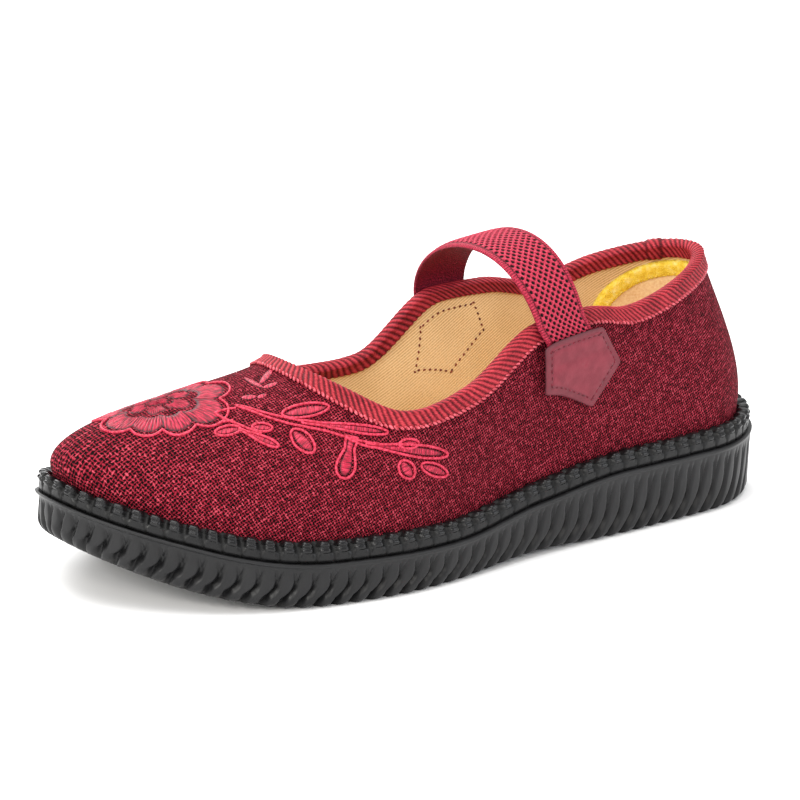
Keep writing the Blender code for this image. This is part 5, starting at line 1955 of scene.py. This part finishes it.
def on_heel(along, down, thick):
    """Points on the lining behind the heel."""
    turns = turn_beyond(0.0, along)
    depth = BINDING_REACH + down
    points, out = beside_wall(turns, depth[:, None], (-UPPER_THICKNESS - thick)[:, None])
    return points[:, 0], out[:, 0]


def pad_line(share, swell):
    """One arch of the pad, drawn in towards the middle of its foot by a share."""
    along, down = arch_line(BAND_WIDTH * 0.8, np.linspace(0, math.pi, 61))
    along = ARCH_CENTRE + (along - ARCH_CENTRE) * share
    down = ARCH_FOOT + (down - ARCH_FOOT) * share
    return on_heel(along, down, np.full(len(along), swell))[0]


def make_heel_pad():
    shares = np.linspace(0.0, 1.0, 13)
    back = [pad_line(share, 0.02 * MM) for share in shares]
    front = [pad_line(share, PAD_BULGE * (1 - share ** 3) + 0.15 * MM) for share in shares]
    face = np.stack(back + front[::-1], axis=1)
    # Both faces follow the wall, and a narrow strip closes the foot on each side of the middle.
    feet = [np.stack([face[end, :13], face[end, 13:][::-1]]) for end in (0, -1)]
    mesh = skin("heel_pad", [{"points": face}, {"points": feet[0]}, {"points": feet[1]}])
    pad = add_piece("heel_pad", mesh, TAN_COTTON, ["heel_grip"])


# %% Yellow band with its pile
PILE_LOOP = (0.34 * MM, 0.22 * MM, 0.30 * MM)
BAND_THICKNESS = 1.1 * MM


def band_grid(lift):
    angles = np.linspace(0, math.pi, 121)
    rows = []
    for share in np.linspace(0, 1, 9):
        along, down = arch_line(BAND_WIDTH * share, angles)
        thick = lift * (1 - (2 * share - 1) ** 6) + 0.05 * MM
        points, _ = on_heel(along, down, np.full(len(along), thick))
        rows.append(points)
    return np.stack(rows, axis=1)


def make_heel_band():
    top = band_grid(BAND_THICKNESS)
    low = band_grid(0.0)
    section = np.concatenate([top, low[:, ::-1]], axis=1)
    caps = [{"points": np.stack([top[end], low[end]], axis=0)} for end in (0, -1)]
    mesh = skin("heel_band", [{"points": section, "closed": (False, True)}] + caps)
    add_piece("heel_band", mesh, TOWELLING, ["heel_grip"])
    base = put_in_scene("pile_base", skin("pile_base", [{"points": top}]))
    loop = rounded_block("pile_loop", PILE_LOOP, 1.0, 6, 4)
    pile = grow("heel_pile", base, PILE, {
        "Gap": 0.55 * MM, "Density": 4.0e6, "Seed": 3, "Shape": loop, "Finish": TOWELLING})
    bpy.data.objects.remove(loop)
    add_piece("heel_pile", pile, TOWELLING, ["heel_grip"])


make_heel_pad()
make_heel_band()

# %% Footbed
FOOTBED_CUTS = 220
FOOTBED_ACROSS = 24


def make_footbed():
    turn = np.arange(FOOTBED_CUTS) * 2.0 / FOOTBED_CUTS
    inset = np.full(turn.shape, UPPER_INSET + UPPER_THICKNESS + INSOLE_GAP)

    def ring(lift, extra):
        return sole_points(turn, inset + extra, lambda share: sole_top(share) + lift)

    def cushion(grid, share):
        edge = np.minimum(share, 1 - share) * 2
        return 0.25 * MM * smooth_step(edge * 4) * np.ones(grid.shape[:2])

    low = ring(0.05 * MM, 0.0)
    side = ring(INSOLE_THICKNESS * 0.75, 0.0)
    high = ring(INSOLE_THICKNESS, 0.6 * MM)
    top = rungs(high, FOOTBED_ACROSS, cushion)
    bottom = rungs(low, FOOTBED_ACROSS)
    wall = np.stack([low, side, high], axis=1)
    mesh = skin("footbed", [
        {"points": wall, "closed": (True, False)},
        {"points": top, "uv": flat_map(top)}, {"points": bottom}], sharp=60)
    return add_piece("footbed", mesh, COTTON_TWILL, ["insole"])


make_footbed()

# %% [markdown]
# ## Floor and light
#
# The photograph is a catalogue shot: a white floor that runs into a white wall, soft light from
# everywhere and a larger, brighter source above and to the left. The floor keeps the soft shadow
# that the sole throws, which is what makes the shoe stand on something.


# %% Floor
def studio_paper():
    material, tree, shader = new_material("studio_paper", Roughness=0.9)
    place = add_node(tree, "ShaderNodeTexCoord").outputs["Object"]
    tooth = add_node(tree, "ShaderNodeTexNoise", {}, {"Vector": place, "Scale": 3.0, "Detail": 2.0})
    colour = ramp(tree, tooth.outputs["Fac"], [(0.3, "#f6f6f6"), (0.7, "#f8f8f8")])
    tree.links.new(colour, shader.inputs["Base Color"])
    return material


def make_floor():
    bm = bmesh.new()
    bmesh.ops.create_grid(bm, x_segments=1, y_segments=1, size=6.0)
    mesh = bpy.data.meshes.new("floor")
    bm.to_mesh(mesh)
    bm.free()
    mesh.materials.append(studio_paper())
    put_in_scene("floor", mesh)


# %% Lights
LIGHTS = {
    # name: place, width, power, colour
    "top": ((0.10, 0.00, 1.40), 1.2, 16.0, "#ffffff"),
    "toe_side": ((1.20, 0.25, 0.60), 0.5, 9.0, "#fffdf8"),
    "front_left": ((0.85, 1.10, 0.90), 0.45, 6.0, "#fffaf4"),
    "right": ((-0.90, 1.00, 0.70), 0.7, 5.0, "#f6f9ff"),
    "behind": ((-0.10, -1.30, 1.10), 1.0, 16.0, "#ffffff"),
}
AIM_HEIGHT = 0.04


def add_lights():
    for name, (place, width, power, colour) in LIGHTS.items():
        data = bpy.data.lights.new(name, "AREA")
        data.shape = "SQUARE"
        data.size = width
        data.energy = power
        data.color = linear(colour)[:3]
        light = put_in_scene(name, data)
        towards = Vector((0.0, 0.0, AIM_HEIGHT)) - Vector(place)
        turned = towards.to_track_quat("-Z", "Y").to_matrix().to_4x4()
        light.matrix_world = Matrix.Translation(place) @ turned


def add_world():
    world = bpy.data.worlds.new("studio")
    world.use_nodes = True
    background = world.node_tree.nodes["Background"]
    background.inputs["Color"].default_value = linear("#ffffff")
    background.inputs["Strength"].default_value = 0.85
    bpy.context.scene.world = world


make_floor()
add_lights()
add_world()
